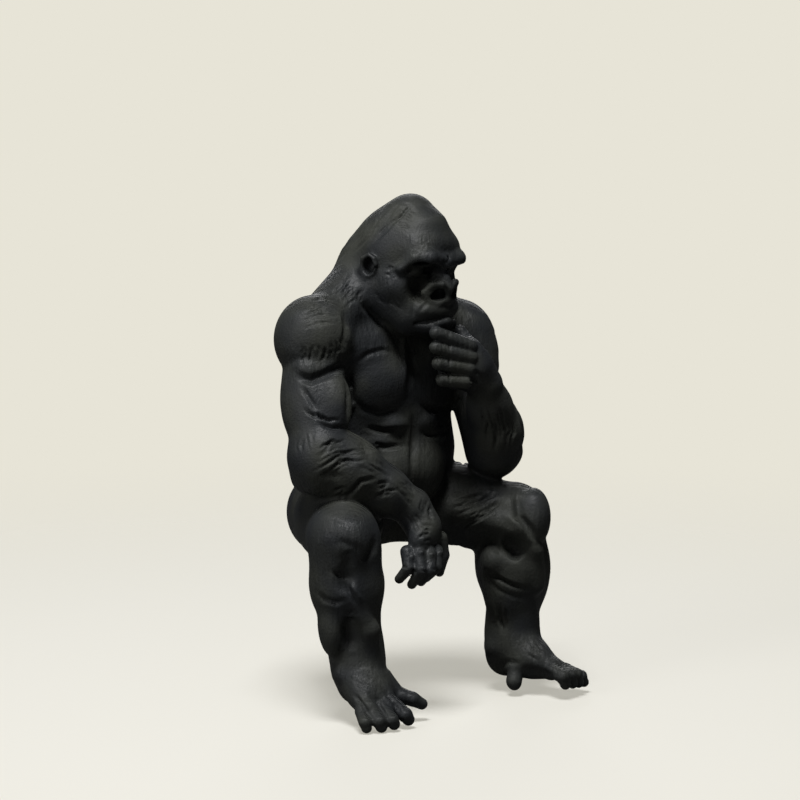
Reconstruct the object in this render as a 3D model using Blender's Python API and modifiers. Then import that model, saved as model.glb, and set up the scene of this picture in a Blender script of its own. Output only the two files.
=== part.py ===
"""Seated gorilla figurine, one solid casting.

It sits on the edge of a shelf with its legs hanging down, the right forearm across
the thighs and the left fist under the chin. The figure is built the way a sculptor
builds one in clay: a skeleton of joints, a body of round masses laid over the bones,
muscles pressed on top, then the cuts for eyes, nostrils, mouth and folds. Each mass
is a sphere or a sphere stretched between two points. The masses of one region are
fused and softened, its muscles are fused on with less softening, the regions are
fused into one skin, and a shelf corner is cut away under the seat and behind the
calves.

Frame: origin on the seat, under the spine. +Z is up and the gorilla faces -Y.
Its left side is +X. Sizes are in millimetres, turned into metres by MM.
"""

import math

import bmesh
import bpy
from mathutils import Euler, Matrix, Vector

MM = 0.001
LEFT = 1
RIGHT = -1

# Skeleton. Each joint hangs from the one before it, so a limb follows its root.
SPINE_LENGTH = 33.0
NECK_LENGTH = 20.0
SHIN_LENGTH = {RIGHT: 33.0, LEFT: 33.5}
PELVIS = Vector((0, -6, 10.8))
CHEST = PELVIS + Vector((0, -7, SPINE_LENGTH))
WAIST = PELVIS.lerp(CHEST, 0.52) + Vector((0, -2.8, 0))
NECK = CHEST + Vector((0, 3, NECK_LENGTH))
HEAD = NECK + Vector((1.5, -9, 14))
HEAD_TURN = (14, 0, 12)
SHOULDER = {RIGHT: CHEST + Vector((-26, -2, 15)), LEFT: CHEST + Vector((25.5, -2.5, 12))}
ELBOW = {
    RIGHT: SHOULDER[RIGHT] + Vector((-5.5, -10.5, -30)),
    LEFT: SHOULDER[LEFT] + Vector((1, -13.5, -29.5)),
}
WRIST = {
    RIGHT: ELBOW[RIGHT] + Vector((22.5, -10.5, -13.5)),
    LEFT: ELBOW[LEFT] + Vector((-10, -7, 20)),
}
HIP = {RIGHT: PELVIS + Vector((-13, -1, -1)), LEFT: PELVIS + Vector((13, -1, -1))}
KNEE = {
    RIGHT: HIP[RIGHT] + Vector((-16.5, -26.5, -1)),
    LEFT: HIP[LEFT] + Vector((16.5, -26.5, -2.5)),
}
ANKLE = {
    RIGHT: KNEE[RIGHT] + Vector((4, 0.5, -SHIN_LENGTH[RIGHT])),
    LEFT: KNEE[LEFT] + Vector((0.5, 1, -SHIN_LENGTH[LEFT])),
}
# The legs are turned outward, so the forms on them are turned with them, in degrees.
LEG_TURN = (0, 0, -38)

# Trunk. Each size is a radius, or the three half sizes of an ellipsoid.
PELVIS_SIZE = (18.9, 13.4, 14.2)
WAIST_SIZE = (22.8, 13.8, 18.2)
CHEST_SIZE = (24.2, 13.8, 19.2)
UPPER_BACK_SIZE = (23.2, 12.4, 15.2)
NECK_R = 14.2
NAPE_R = 10.8
SHOULDER_SLOPE_R = {RIGHT: 9.2, LEFT: 8.7}
SIDE_NECK_R = {RIGHT: 9.8, LEFT: 9.2}
BACK_MUSCLE_SIZE = (9.2, 10.2, 18.2)
SPINE_MUSCLE_R = 5.2
BUTTOCK_SIZE = (11.8, 12, 12.8)
SHOULDER_BLADE_SIZE = (10, 7.6, 10.6)
PECTORAL_SIZE = (8.8, 6.4, 9.2)
COLLAR_MUSCLE_R = 5.7
UPPER_ABDOMEN_SIZE = (4.2, 3.2, 2.9)
MIDDLE_ABDOMEN_SIZE = (5.2, 3.6, 2.7)
BELLY_SIZE = (8.4, 8.2, 9.6)
RIB_SIZE = (5, 4.5, 10)
FLANK_SIZE = (6.4, 6.4, 11)
SPINE_GROOVE_R = 1.4
ARMPIT_GAP_SIZE = (1.0, 14, 8.5)

# Arms.
DELTOID_SIZE = {RIGHT: (10.2, 10.6, 11.5), LEFT: (9.4, 9.9, 12)}
DELTOID_R = 9.6
DELTOID_POINT_R = 4.4
FRONT_DELTOID_SIZE = (5.4, 6.2, 9)
UPPER_ARM_R = {RIGHT: 8.5, LEFT: 8.3}
LOW_UPPER_ARM_R = {RIGHT: 7.8, LEFT: 7.1}
BICEPS_SIZE = {RIGHT: (5.4, 6.0, 9.8), LEFT: (5.2, 5.2, 8.5)}
TRICEPS_SIZE = {RIGHT: (6.8, 7.4, 12), LEFT: (6.2, 5.8, 10.5)}
LONG_TRICEPS_R = 5.4
ELBOW_R = {RIGHT: 8.7, LEFT: 6.9}
ELBOW_POINT_SIZE = (3.5, 3.4, 3.5)
FOREARM_R = {RIGHT: 9.1, LEFT: 6.9}
LOW_FOREARM_R = {RIGHT: 6.7, LEFT: 5.9}
WRIST_R = {RIGHT: 5.3, LEFT: 5.0}
OUTER_FOREARM_SIZE = {RIGHT: (9.3, 5.8, 5.8), LEFT: (4.6, 4.8, 9)}

# Hands.
HANGING_PALM_SIZE = (5.6, 3.6, 5.4)
FIST_PALM_SIZE = (4.4, 5, 7.6)
FIST_HEEL_SIZE = (5.5, 4, 7.2)
FINGER_R = 1.85
FINGERTIP_R = 1.35
THUMB_R = 2.1
FIST_FINGER_R = 2.05

# Legs.
THIGH_R = 12.1
MID_THIGH_R = 11.4
KNEE_R = 9.3
KNEE_SIZE = (8.9, 9, 9.5)
UPPER_SHIN_R = 8.1
CALF_R = 8.7
OUTER_CALF_SIZE = (6, 7.4, 11)
INNER_CALF_SIZE = (5.6, 7, 10.5)
ANKLE_R = 6.9
KNEECAP_SIZE = (5.2, 4.8, 6.2)
INNER_KNEE_SIZE = (3, 4, 8)
OUTER_KNEE_SIZE = (3.2, 4.4, 8)
FRONT_CALF_SIZE = (4.6, 5.4, 9.6)
SHIN_BONE_R = 2.2
THIGH_BAND_R = 4.6
THIGH_BAND_END_R = 2.6
LEFT_KNEECAP_SIZE = (4.8, 5.4, 8.2)
LEFT_INNER_CALF_SIZE = (3.8, 4.4, 4.6)
LEFT_FRONT_CALF_SIZE = (5.6, 4.8, 8)
LEFT_OUTER_CALF_SIZE = (5.6, 7.2, 12)
KNEE_HOLLOW_SIZE = (2.8, 2.6, 3)

# Feet.
HEEL_R = 5.7
HEEL_SIZE = (5.2, 5.6, 5)
INSTEP_R = 6.5
MID_FOOT_R = 5.4
SOLE_R = 4.9
BALL_OF_FOOT_R = 3.3
BIG_TOE_ROOT_R = 2.8
ANKLE_BONE_SIZE = (2.1, 2.6, 2.6)
TOE_R = 1.9
TOE_TIP_R = 1.6
BIG_TOE_R = 2.2

# Head, measured from the middle of the skull for a head that faces -Y.
SKULL_SIZE = (13.2, 13.3, 13.6)
CREST_R = 7.0
FRONT_CREST_R = 7.6
FOREHEAD_SIZE = (6.3, 7.3, 7.3)
BACK_OF_HEAD_R = 9.6
BACK_OF_NECK_R = 10.8
JAW_R = 5.6
CHIN_SIDE_R = 5.0
CHEEK_SIZE = (4.1, 5.4, 5)
MUZZLE_SIZE = (9.6, 8, 7.7)
BROW_R = 2.5
BROW_END_R = 2.0
NOSE_BRIDGE_R = 1.8
NOSE_TIP_R = 2.3
NOSE_PAD_SIZE = (2.8, 2.1, 2)
NOSTRIL_WING_SIZE = (2.8, 2.4, 2.6)
UPPER_LIP_SIZE = (7.8, 4.3, 3.4)
CHIN_SIZE = (7.2, 5, 3.7)
LOWER_LIP_R = 1.3
EAR_SIZE = (2, 2.6, 3.7)
SOCKET_SIZE = (4.5, 3.8, 2.7)
NOSTRIL_SIZE = (1.9, 2, 1.2)
MOUTH_LINE_R = 0.6
EAR_HOLLOW_SIZE = (1.5, 1.5, 2.5)
EYELID_SIZE = (2.9, 2.1, 1.8)
EYE_BAG_SIZE = (3.4, 2.4, 1.8)

# Shelf corner that the figurine sits on, and the finish of the mesh.
SHELF_FRONT_Y = -25.0
SHELF_REACH = 90.0
VOXEL = 0.55
MASS_VOXEL = 1.1
SKIN_VOXEL = 0.5
CUTTER_VOXEL = 0.3
BALL_SEGMENTS = 28
LIMB_SEGMENTS = 24
RINGS = 18
RING_MARGIN = 0.001
TRIANGLES = 11600
BODY_COLOUR = (0.018, 0.018, 0.019, 1.0)
ROUGHNESS = 0.6

# How often each region is smoothed: first its masses, then all of it with the muscles.
SOFTENING = {
    "torso": (40, 7),
    "right_arm": (6, 4),
    "left_arm": (6, 6),
    "right_leg": (7, 5),
    "left_leg": (7, 5),
    "right_foot": (5, 2),
    "left_foot": (5, 2),
    "hanging_hand": (0, 1),
    "fist": (0, 1),
    "head": (7, 2),
    "eyelids": (0, 1),
    "cutters": (0, 1),
    "whole": (0, 3),
}


def ball(centre, size, turn=(0, 0, 0)):
    """An ellipsoid at centre, with its half sizes, turned about its own axes in degrees."""
    half = (size, size, size) if isinstance(size, (int, float)) else size
    return {"centre": centre, "half": half, "turn": turn}


def limb(start, start_r, end, end_r):
    """Two spheres with the straight skin that wraps them both."""
    return {"start": start, "start_r": start_r, "end": end, "end_r": end_r}


def by(point, x, y, z):
    """The point moved by x, y and z."""
    return point + Vector((x, y, z))


def along(a, b, share, x=0.0, y=0.0, z=0.0):
    """The point a share of the way from a to b, moved by x, y and z."""
    return by(a.lerp(b, share), x, y, z)


def clear_scene():
    for obj in list(bpy.data.objects):
        bpy.data.objects.remove(obj, do_unlink=True)


def new_collection(name):
    collection = bpy.data.collections.new(name)
    bpy.context.scene.collection.children.link(collection)
    return collection


def turn_matrix(turn):
    return Euler([math.radians(angle) for angle in turn]).to_matrix()


def add_ball(bm, form):
    size = Matrix.Diagonal([half * MM for half in form["half"]]).to_4x4()
    place = Matrix.Translation(form["centre"] * MM) @ turn_matrix(form["turn"]).to_4x4() @ size
    ball_shape = {"u_segments": BALL_SEGMENTS, "v_segments": RINGS, "radius": 1}
    bmesh.ops.create_uvsphere(bm, matrix=place, **ball_shape)


def add_limb(bm, form):
    """A sphere cut at the ring where the wrapping cone touches, each part moved to its end."""
    start = form["start"] * MM
    end = form["end"] * MM
    axis = end - start
    turn = axis.to_track_quat("Z", "Y").to_matrix()
    touch = (form["start_r"] - form["end_r"]) * MM / axis.length
    made = bmesh.ops.create_uvsphere(bm, u_segments=LIMB_SEGMENTS, v_segments=RINGS, radius=1)
    for vert in made["verts"]:
        way = vert.co.normalized()
        far = way.z > touch + RING_MARGIN
        centre, radius = (end, form["end_r"]) if far else (start, form["start_r"])
        vert.co = centre + turn @ way * radius * MM


def mesh_of_forms(name, forms):
    """One mesh that holds every form as its own closed shell."""
    bm = bmesh.new()
    for form in forms:
        if "half" in form:
            add_ball(bm, form)
        else:
            add_limb(bm, form)
    mesh = bpy.data.meshes.new(name)
    bm.to_mesh(mesh)
    bm.free()
    return mesh


def evaluated_mesh(obj):
    """The object's mesh with its modifiers worked out."""
    bpy.context.view_layer.update()
    graph = bpy.context.evaluated_depsgraph_get()
    return bpy.data.meshes.new_from_object(obj.evaluated_get(graph))


def fused(name, meshes, collection, soften, voxel=VOXEL, cuts=()):
    """The meshes as one closed skin: fused by voxels, softened, and cut by the forms in cuts."""
    bm = bmesh.new()
    for mesh in meshes:
        bm.from_mesh(mesh)
    joined = bpy.data.meshes.new(name)
    bm.to_mesh(joined)
    bm.free()
    obj = bpy.data.objects.new(name, joined)
    collection.objects.link(obj)
    obj.hide_render = True
    obj.display_type = "WIRE"
    remesh = obj.modifiers.new("one skin", "REMESH")
    remesh.mode = "VOXEL"
    remesh.voxel_size = voxel * MM
    if cuts:
        shells = mesh_of_forms(name + "_cuts", cuts)
        cutter = fused(name + "_cuts", [shells], collection, SOFTENING["cutters"][1], CUTTER_VOXEL)
        boolean = obj.modifiers.new("cuts", "BOOLEAN")
        boolean.operation = "DIFFERENCE"
        boolean.solver = "EXACT"
        boolean.object = cutter
    smooth = obj.modifiers.new("soft joins", "SMOOTH")
    smooth.factor = 0.5
    smooth.iterations = soften
    return obj


def region(name, helpers, forms, masses=(), cuts=()):
    """One region of the body: its masses made soft first, then its forms pressed on and cut."""
    mass_soften, soften = SOFTENING[name]
    shells = [mesh_of_forms(name, forms)]
    if masses:
        body = mesh_of_forms(name + "_masses", masses)
        clay = fused(name + "_masses", [body], helpers, mass_soften, MASS_VOXEL)
        shells.append(evaluated_mesh(clay))
    return evaluated_mesh(fused(name, shells, helpers, soften, cuts=cuts))


def torso_masses():
    """Pelvis, belly, chest, neck, shoulders and the broad muscles of the back."""
    forms = [
        ball(by(PELVIS, 0, 3, 0), PELVIS_SIZE),
        ball(WAIST, WAIST_SIZE),
        ball(CHEST, CHEST_SIZE, (8, 0, 0)),
        ball(by(CHEST, 0, 8, 9), UPPER_BACK_SIZE, (16, 0, 0)),
        limb(by(NECK, 0, 3, -6), NECK_R, by(HEAD, -1.5, 7, 1), NAPE_R),
    ]
    for side in (RIGHT, LEFT):
        shoulder = by(SHOULDER[side], -side * 3.5, 1.5, 3.5)
        neck = by(HEAD, side * 3.5, 8, -2.5)
        lower_spine = by(PELVIS, side * 5, 9.5, 7)
        upper_spine = by(CHEST, side * 5, 18, 4)
        forms += [
            limb(shoulder, SHOULDER_SLOPE_R[side], neck, SIDE_NECK_R[side]),
            limb(lower_spine, SPINE_MUSCLE_R, upper_spine, SPINE_MUSCLE_R),
            ball(by(PELVIS, side * 11, 5.2, -1.5), BUTTOCK_SIZE),
            ball(by(CHEST, side * 12, 13.5, 9), SHOULDER_BLADE_SIZE, (16, 0, -side * 14)),
            ball(by(CHEST, side * 16, 9.5, -4), BACK_MUSCLE_SIZE, (6, side * 12, 0)),
            ball(by(WAIST, side * 15, -3, -2), FLANK_SIZE, (0, 0, side * 30)),
        ]
    return forms


def torso_muscles():
    """Chest, belly and ribs, each pressed on by itself."""
    forms = []
    for side in (RIGHT, LEFT):
        collar = by(CHEST, side * 20, -4.5, 12)
        breastbone = by(CHEST, side * 9, -4.5, 14)
        forms += [
            ball(by(CHEST, side * 9.6, -8.4, 2.6), PECTORAL_SIZE, (8, 0, side * 20)),
            limb(collar, COLLAR_MUSCLE_R, breastbone, COLLAR_MUSCLE_R),
            ball(by(WAIST, side * 5.8, -11.1, 8.2), UPPER_ABDOMEN_SIZE, (0, 0, side * 14)),
            ball(by(WAIST, side * 9.2, -9.3, 3.8), MIDDLE_ABDOMEN_SIZE, (0, 0, side * 20)),
            ball(by(WAIST, side * 5, -7.8, -4.5), BELLY_SIZE, (0, 0, side * 10)),
            ball(by(CHEST, side * 15.2, -2.6, -5), RIB_SIZE, (0, side * 14, side * 30)),
        ]
    return forms


def torso_cuts():
    """The groove of the spine, the cleft under it and the gap under the left armpit."""
    spine_end = by(PELVIS, 0, 16, 5)
    return [
        limb(by(CHEST, 0, 24, 14), SPINE_GROOVE_R, spine_end, SPINE_GROOVE_R),
        limb(spine_end, SPINE_GROOVE_R, by(PELVIS, 0, 16, -15), SPINE_GROOVE_R),
        armpit_gap(),
    ]


def armpit_gap():
    """The narrow slit that light falls through between the left arm and the ribs."""
    return ball(by(ELBOW[LEFT], -3.6, 12, 3), ARMPIT_GAP_SIZE, (-8, -11.6, -38.7))


def right_arm_masses():
    shoulder, elbow, wrist = SHOULDER[RIGHT], ELBOW[RIGHT], WRIST[RIGHT]
    high = along(shoulder, elbow, 0.2)
    middle = along(shoulder, elbow, 0.58, -0.4)
    belly = along(elbow, wrist, 0.34, 0, 0, 1)
    low = along(elbow, wrist, 0.68, 0, 0, 0.6)
    return [
        limb(high, UPPER_ARM_R[RIGHT], middle, LOW_UPPER_ARM_R[RIGHT]),
        limb(middle, LOW_UPPER_ARM_R[RIGHT], by(elbow, -0.5, 0, 2), LOW_UPPER_ARM_R[RIGHT]),
        limb(elbow, ELBOW_R[RIGHT], belly, FOREARM_R[RIGHT]),
        limb(belly, FOREARM_R[RIGHT], low, LOW_FOREARM_R[RIGHT]),
        limb(low, LOW_FOREARM_R[RIGHT], wrist, WRIST_R[RIGHT]),
    ]


def right_arm_muscles():
    """The shoulder cap runs to a point between biceps and triceps."""
    shoulder, elbow, wrist = SHOULDER[RIGHT], ELBOW[RIGHT], WRIST[RIGHT]
    point = along(shoulder, elbow, 0.22, -4.3, -2.8)
    return [
        ball(along(shoulder, elbow, 0.5, -2.2, 1.1), TRICEPS_SIZE[RIGHT], (-18, 6, 0)),
        ball(along(shoulder, elbow, 0.5, 0.7, -5.2), BICEPS_SIZE[RIGHT], (-18, 8, 0)),
        ball(by(shoulder, -0.3, -0.4, 1.5), DELTOID_SIZE[RIGHT], (0, 12, 0)),
        limb(by(shoulder, 0, -0.6, 2), DELTOID_R, point, DELTOID_POINT_R),
        ball(by(shoulder, 2.3, -4.4, 0), FRONT_DELTOID_SIZE, (4, 0, 0)),
        ball(along(elbow, wrist, 0.18, 1.5, -1.5, 4.2), OUTER_FOREARM_SIZE[RIGHT], (0, 24, -25)),
        ball(by(elbow, -3.8, 2, -4.8), ELBOW_POINT_SIZE),
    ]


def left_arm_masses():
    shoulder, elbow, wrist = SHOULDER[LEFT], ELBOW[LEFT], WRIST[LEFT]
    high = along(shoulder, elbow, 0.2)
    middle = along(shoulder, elbow, 0.62)
    belly = along(elbow, wrist, 0.3, 1.2, -0.5, 0)
    low = along(elbow, wrist, 0.66, 0.6, 0, 0)
    bend = by(elbow, 0, 0, 0.5)
    return [
        limb(high, UPPER_ARM_R[LEFT], middle, LOW_UPPER_ARM_R[LEFT]),
        limb(middle, LOW_UPPER_ARM_R[LEFT], bend, ELBOW_R[LEFT]),
        limb(bend, ELBOW_R[LEFT] - 0.4, belly, FOREARM_R[LEFT]),
        limb(belly, FOREARM_R[LEFT], low, LOW_FOREARM_R[LEFT]),
        limb(low, LOW_FOREARM_R[LEFT], wrist, WRIST_R[LEFT]),
    ]


def left_arm_muscles():
    shoulder, elbow, wrist = SHOULDER[LEFT], ELBOW[LEFT], WRIST[LEFT]
    back_of_elbow = by(elbow, -1.5, 1.2, 0)
    return [
        ball(by(shoulder, 0.4, 0.2, -0.5), DELTOID_SIZE[LEFT], (0, -12, 0)),
        ball(along(shoulder, elbow, 0.5, 1, 2.8), TRICEPS_SIZE[LEFT], (-20, 0, 0)),
        ball(along(shoulder, elbow, 0.5, -1, -2.8), BICEPS_SIZE[LEFT], (-22, 0, 0)),
        limb(along(shoulder, elbow, 0.5, -1.6, 1.2), LONG_TRICEPS_R, back_of_elbow, ELBOW_R[LEFT]),
        ball(along(elbow, wrist, 0.25, 3, 1, 1), OUTER_FOREARM_SIZE[LEFT], (20, -20, 0)),
        ball(by(elbow, 0.3, 0, -4), ELBOW_POINT_SIZE),
    ]


def digit(root, knuckle, bend, tip, radius, tip_r):
    """A finger or toe of two bones, each point measured from its root joint."""
    bend = by(root, *bend)
    bend_r = (2 * radius + tip_r) / 3
    return [
        limb(by(root, *knuckle), radius, bend, bend_r),
        limb(bend, bend_r, by(root, *tip), tip_r),
    ]


def digits(root, places, radius, tip_r):
    """A row of fingers or toes on the same root joint."""
    forms = []
    for knuckle, bend, tip in places:
        forms += digit(root, knuckle, bend, tip, radius, tip_r)
    return forms


def hanging_hand_forms():
    """The right hand, hanging from the wrist, fingers half curled, little finger first."""
    wrist = WRIST[RIGHT]
    fingers = (
        ((-5.0, -4.5, -11.0), (-6.0, -6.5, -15.0), (-7.2, -4.0, -18.2)),
        ((-2.6, -6.6, -11.3), (-3.6, -8.8, -15.5), (-4.2, -5.6, -19.8)),
        ((0.5, -7.2, -11.6), (-1.1, -9.4, -15.8), (-1.7, -6.4, -19.2)),
        ((3.6, -6.4, -11.5), (1.9, -8.4, -15.5), (0.8, -5.4, -18.6)),
    )
    thumb = (((7.0, -3.6, -9.0), (7.9, -4.0, -13.5), (6.6, -4.0, -18.0)),)
    return [
        limb(wrist, WRIST_R[RIGHT], by(wrist, 2.2, -2.2, -5), WRIST_R[RIGHT]),
        ball(by(wrist, 1.0, -4.2, -8.4), HANGING_PALM_SIZE, (14, -8, 22)),
        *digits(wrist, fingers, FINGER_R, FINGERTIP_R),
        *digits(wrist, thumb, THUMB_R, FINGERTIP_R),
    ]


def fist_forms():
    """The left hand under the chin: four stacked fingers, index first, the thumb behind them."""
    wrist = WRIST[LEFT]
    fingers = (
        ((-7.2, -2.6, 11.2), (-17.2, -0.4, 15.3), (-9.0, 5.5, 12.0)),
        ((-7.4, -3.2, 8.2), (-17.2, -0.4, 11.4), (-9.0, 5.5, 9.0)),
        ((-8.0, -3.2, 5.2), (-16.4, -0.4, 7.1), (-8.5, 5.5, 5.0)),
        ((-9.0, -2.8, 1.8), (-15.0, -0.4, 2.5), (-7.5, 5.5, 1.0)),
    )
    thumb = (((-3.4, 0.5, 9.0), (-4.6, 2.2, 12.4), (-5.6, 3.4, 14.6)),)
    return [
        limb(wrist, WRIST_R[LEFT], by(wrist, -3.6, -0.4, 5), WRIST_R[LEFT]),
        ball(by(wrist, -5.2, 0.2, 6), FIST_PALM_SIZE, (0, -8, 30)),
        ball(by(wrist, -7, 4, 6), FIST_HEEL_SIZE),
        *digits(wrist, fingers, FIST_FINGER_R, FINGER_R),
        *digits(wrist, thumb, FIST_FINGER_R, FINGER_R),
    ]


def leg_masses(side):
    """Thigh, knee, calf and ankle of one side, from hip to ankle."""
    hip, knee, ankle = HIP[side], KNEE[side], ANKLE[side]
    mid_thigh = along(hip, knee, 0.5, 0, 0, 1.5)
    calf = along(knee, ankle, 0.4)
    low = by(ankle, 0, 0, 3)
    return [
        limb(by(hip, 0, 0, 0.5), THIGH_R, mid_thigh, MID_THIGH_R),
        limb(mid_thigh, MID_THIGH_R, by(knee, 0, 1.5, 0), KNEE_R),
        ball(by(knee, side * 0.3, 0, 0.5), KNEE_SIZE),
        limb(by(knee, 0, -0.2, -6), UPPER_SHIN_R, calf, CALF_R),
        limb(calf, CALF_R, low, ANKLE_R),
        ball(by(calf, side * 4.4, 1, 1.5), OUTER_CALF_SIZE),
        ball(by(calf, -side * 4.2, 1.6, 1.5), INNER_CALF_SIZE),
        limb(low, ANKLE_R, by(ankle, 0, -0.5, -2), ANKLE_R),
    ]


def right_leg_muscles():
    """Kneecap in front, the muscles that hold it, the shin's blade and the calf beside it."""
    knee, ankle = KNEE[RIGHT], ANKLE[RIGHT]
    top_of_shin = along(knee, ankle, 0.45, -3.9, -6.1)
    middle_of_shin = along(knee, ankle, 0.73, 0, -7.4)
    foot_of_shin = along(knee, ankle, 1.03, 0.8, -6)
    return [
        ball(along(knee, ankle, -0.02, -2.1, -5.2), KNEECAP_SIZE, LEG_TURN),
        ball(along(knee, ankle, 0.15, 4.2, -4.7), INNER_KNEE_SIZE, LEG_TURN),
        ball(along(knee, ankle, 0.15, -5.3, 2.3), OUTER_KNEE_SIZE, LEG_TURN),
        ball(along(knee, ankle, 0.68, -5.6, 0.4), FRONT_CALF_SIZE, LEG_TURN),
        limb(top_of_shin, SHIN_BONE_R, middle_of_shin, SHIN_BONE_R),
        limb(middle_of_shin, SHIN_BONE_R, foot_of_shin, SHIN_BONE_R),
    ]


def left_leg_muscles():
    """A band of muscle crosses the thigh down to the knee, and the calf stands out under it."""
    knee, ankle = KNEE[LEFT], ANKLE[LEFT]
    on_thigh = along(knee, ankle, -0.12, -14.7, 7.2)
    over_knee = along(knee, ankle, 0.04, -4.3, -5.7)
    under_knee = along(knee, ankle, 0.23, 0.5, -8.1)
    on_shin = along(knee, ankle, 0.52, 1.9, -7.2)
    return [
        ball(along(knee, ankle, -0.04, 1.6, -6.4), LEFT_KNEECAP_SIZE, LEG_TURN),
        limb(on_thigh, THIGH_BAND_R, over_knee, THIGH_BAND_END_R),
        limb(over_knee, THIGH_BAND_END_R, under_knee, SHIN_BONE_R),
        limb(under_knee, SHIN_BONE_R, on_shin, THIGH_BAND_END_R),
        ball(along(knee, ankle, 0.32, -7.3, -0.5), LEFT_INNER_CALF_SIZE, LEG_TURN),
        ball(along(knee, ankle, 0.61, -3.8, -1.3), LEFT_FRONT_CALF_SIZE, LEG_TURN),
        ball(along(knee, ankle, 0.46, 5.4, 0.6), LEFT_OUTER_CALF_SIZE),
    ]


def right_knee_hollow():
    """The dip under the right kneecap."""
    return [ball(along(KNEE[RIGHT], ANKLE[RIGHT], 0.29, -6.6, -7.3), KNEE_HOLLOW_SIZE, LEG_TURN)]


def left_knee_hollow():
    """The dip on the inner side of the left knee."""
    return [ball(along(KNEE[LEFT], ANKLE[LEFT], 0.19, -6.3, -7.8), KNEE_HOLLOW_SIZE, LEG_TURN)]


def right_foot_masses():
    """The right foot hangs with its toes down."""
    ankle = ANKLE[RIGHT]
    return [
        limb(by(ankle, 2, 3, -5.5), HEEL_R, by(ankle, 1.5, 1, -7.5), HEEL_R),
        limb(by(ankle, 0, -2, -2.5), INSTEP_R, by(ankle, -2, -7, -7.5), MID_FOOT_R),
        limb(by(ankle, -3.5, -7, -7), SOLE_R, by(ankle, -5.5, -12, -11), BALL_OF_FOOT_R),
        limb(by(ankle, 0.5, -8, -7.5), SOLE_R, by(ankle, 0.5, -13, -11), BALL_OF_FOOT_R),
        limb(by(ankle, 4.5, -7, -7), SOLE_R, by(ankle, 7, -10, -9.8), BIG_TOE_ROOT_R),
    ]


def right_foot_forms():
    """Ankle bones and toes, little toe first, the big toe splayed inward."""
    ankle = ANKLE[RIGHT]
    toes = (
        ((-7.5, -12.0, -11.5), (-9.0, -15.5, -13.5), (-8.7, -15.7, -15.0)),
        ((-5.5, -13.5, -11.5), (-5.5, -17.0, -13.5), (-4.9, -17.2, -15.0)),
        ((-2.0, -14.0, -11.0), (-2.0, -18.0, -13.5), (-1.4, -18.2, -14.6)),
        ((2.0, -13.5, -10.5), (3.0, -17.5, -13.0), (3.8, -17.7, -14.2)),
        ((7.0, -10.0, -9.5), (9.5, -12.5, -10.5), (12.0, -13.2, -12.0)),
    )
    return [
        ball(by(ankle, 6, -1.5, -4), ANKLE_BONE_SIZE),
        ball(by(ankle, -6.2, -1.5, -3.5), ANKLE_BONE_SIZE),
        *digits(ankle, toes, TOE_R, TOE_TIP_R),
    ]


def left_foot_masses():
    """The left foot is held level."""
    ankle = ANKLE[LEFT]
    return [
        ball(by(ankle, -0.5, 2, -6), HEEL_SIZE),
        limb(by(ankle, -0.5, -0.5, -1.5), INSTEP_R, by(ankle, 1, -6.5, -4.5), MID_FOOT_R),
        limb(by(ankle, 1, -6.5, -5), MID_FOOT_R, by(ankle, 3.2, -13, -7), BALL_OF_FOOT_R),
        limb(by(ankle, 3.5, -7.5, -6.5), SOLE_R, by(ankle, 7.5, -13, -8.5), BIG_TOE_ROOT_R),
        limb(by(ankle, -1, -3.5, -5), SOLE_R, by(ankle, -3, -5.5, -6.5), BIG_TOE_ROOT_R),
    ]


def left_foot_forms():
    """Ankle bones and toes: four toes forward and the big toe reaching down."""
    ankle = ANKLE[LEFT]
    toes = (
        ((1.5, -15.5, -7.0), (2.0, -19.0, -8.0), (3.0, -19.0, -10.3)),
        ((4.5, -15.0, -7.5), (5.2, -18.5, -8.2), (6.0, -18.6, -10.6)),
        ((8.0, -14.0, -8.0), (8.2, -17.5, -8.6), (9.1, -17.6, -11.0)),
        ((10.5, -13.0, -9.0), (11.4, -16.0, -9.8), (12.4, -16.1, -11.6)),
    )
    big_toe = (((-3.0, -5.5, -6.0), (-5.3, -7.0, -10.5), (-5.3, -7.2, -11.2)),)
    return [
        ball(by(ankle, -6, 0.5, -2), ANKLE_BONE_SIZE),
        ball(by(ankle, 6, 0.5, -2.5), ANKLE_BONE_SIZE),
        *digits(ankle, toes, TOE_R, TOE_TIP_R),
        *digits(ankle, big_toe, BIG_TOE_R, TOE_R),
    ]


def placed_on_head(forms):
    """Forms measured from the middle of the skull, moved and turned to where the head is held."""
    turn = turn_matrix(HEAD_TURN)
    placed = []
    for form in forms:
        form = dict(form)
        for key in ("centre", "start", "end"):
            if key in form:
                form[key] = HEAD + turn @ form[key]
        if "turn" in form:
            whole_turn = turn @ turn_matrix(form["turn"])
            form["turn"] = [math.degrees(angle) for angle in whole_turn.to_euler()]
        placed.append(form)
    return placed


def head_masses():
    """Skull, crest, forehead, cheeks, muzzle and jaw."""
    forms = [
        ball(Vector((0, 0.5, 3.5)), SKULL_SIZE),
        limb(Vector((0, 0.4, 13.3)), CREST_R, Vector((0, -4, 11)), FRONT_CREST_R),
        limb(Vector((0, 5, 5)), BACK_OF_HEAD_R, Vector((0, 9.5, -6)), BACK_OF_NECK_R),
        ball(Vector((0, -9, -7.5)), MUZZLE_SIZE),
    ]
    for side in (RIGHT, LEFT):
        jaw_corner = Vector((side * 8.2, 0.5, -5.5))
        chin_side = Vector((side * 5.4, -9.5, -10.4))
        forms += [
            ball(Vector((side * 3.5, -5.5, 6)), FOREHEAD_SIZE),
            ball(Vector((side * 8.7, -7.4, -2.4)), CHEEK_SIZE),
            limb(jaw_corner, JAW_R, chin_side, CHIN_SIDE_R),
        ]
    return placed_on_head(forms)


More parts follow.
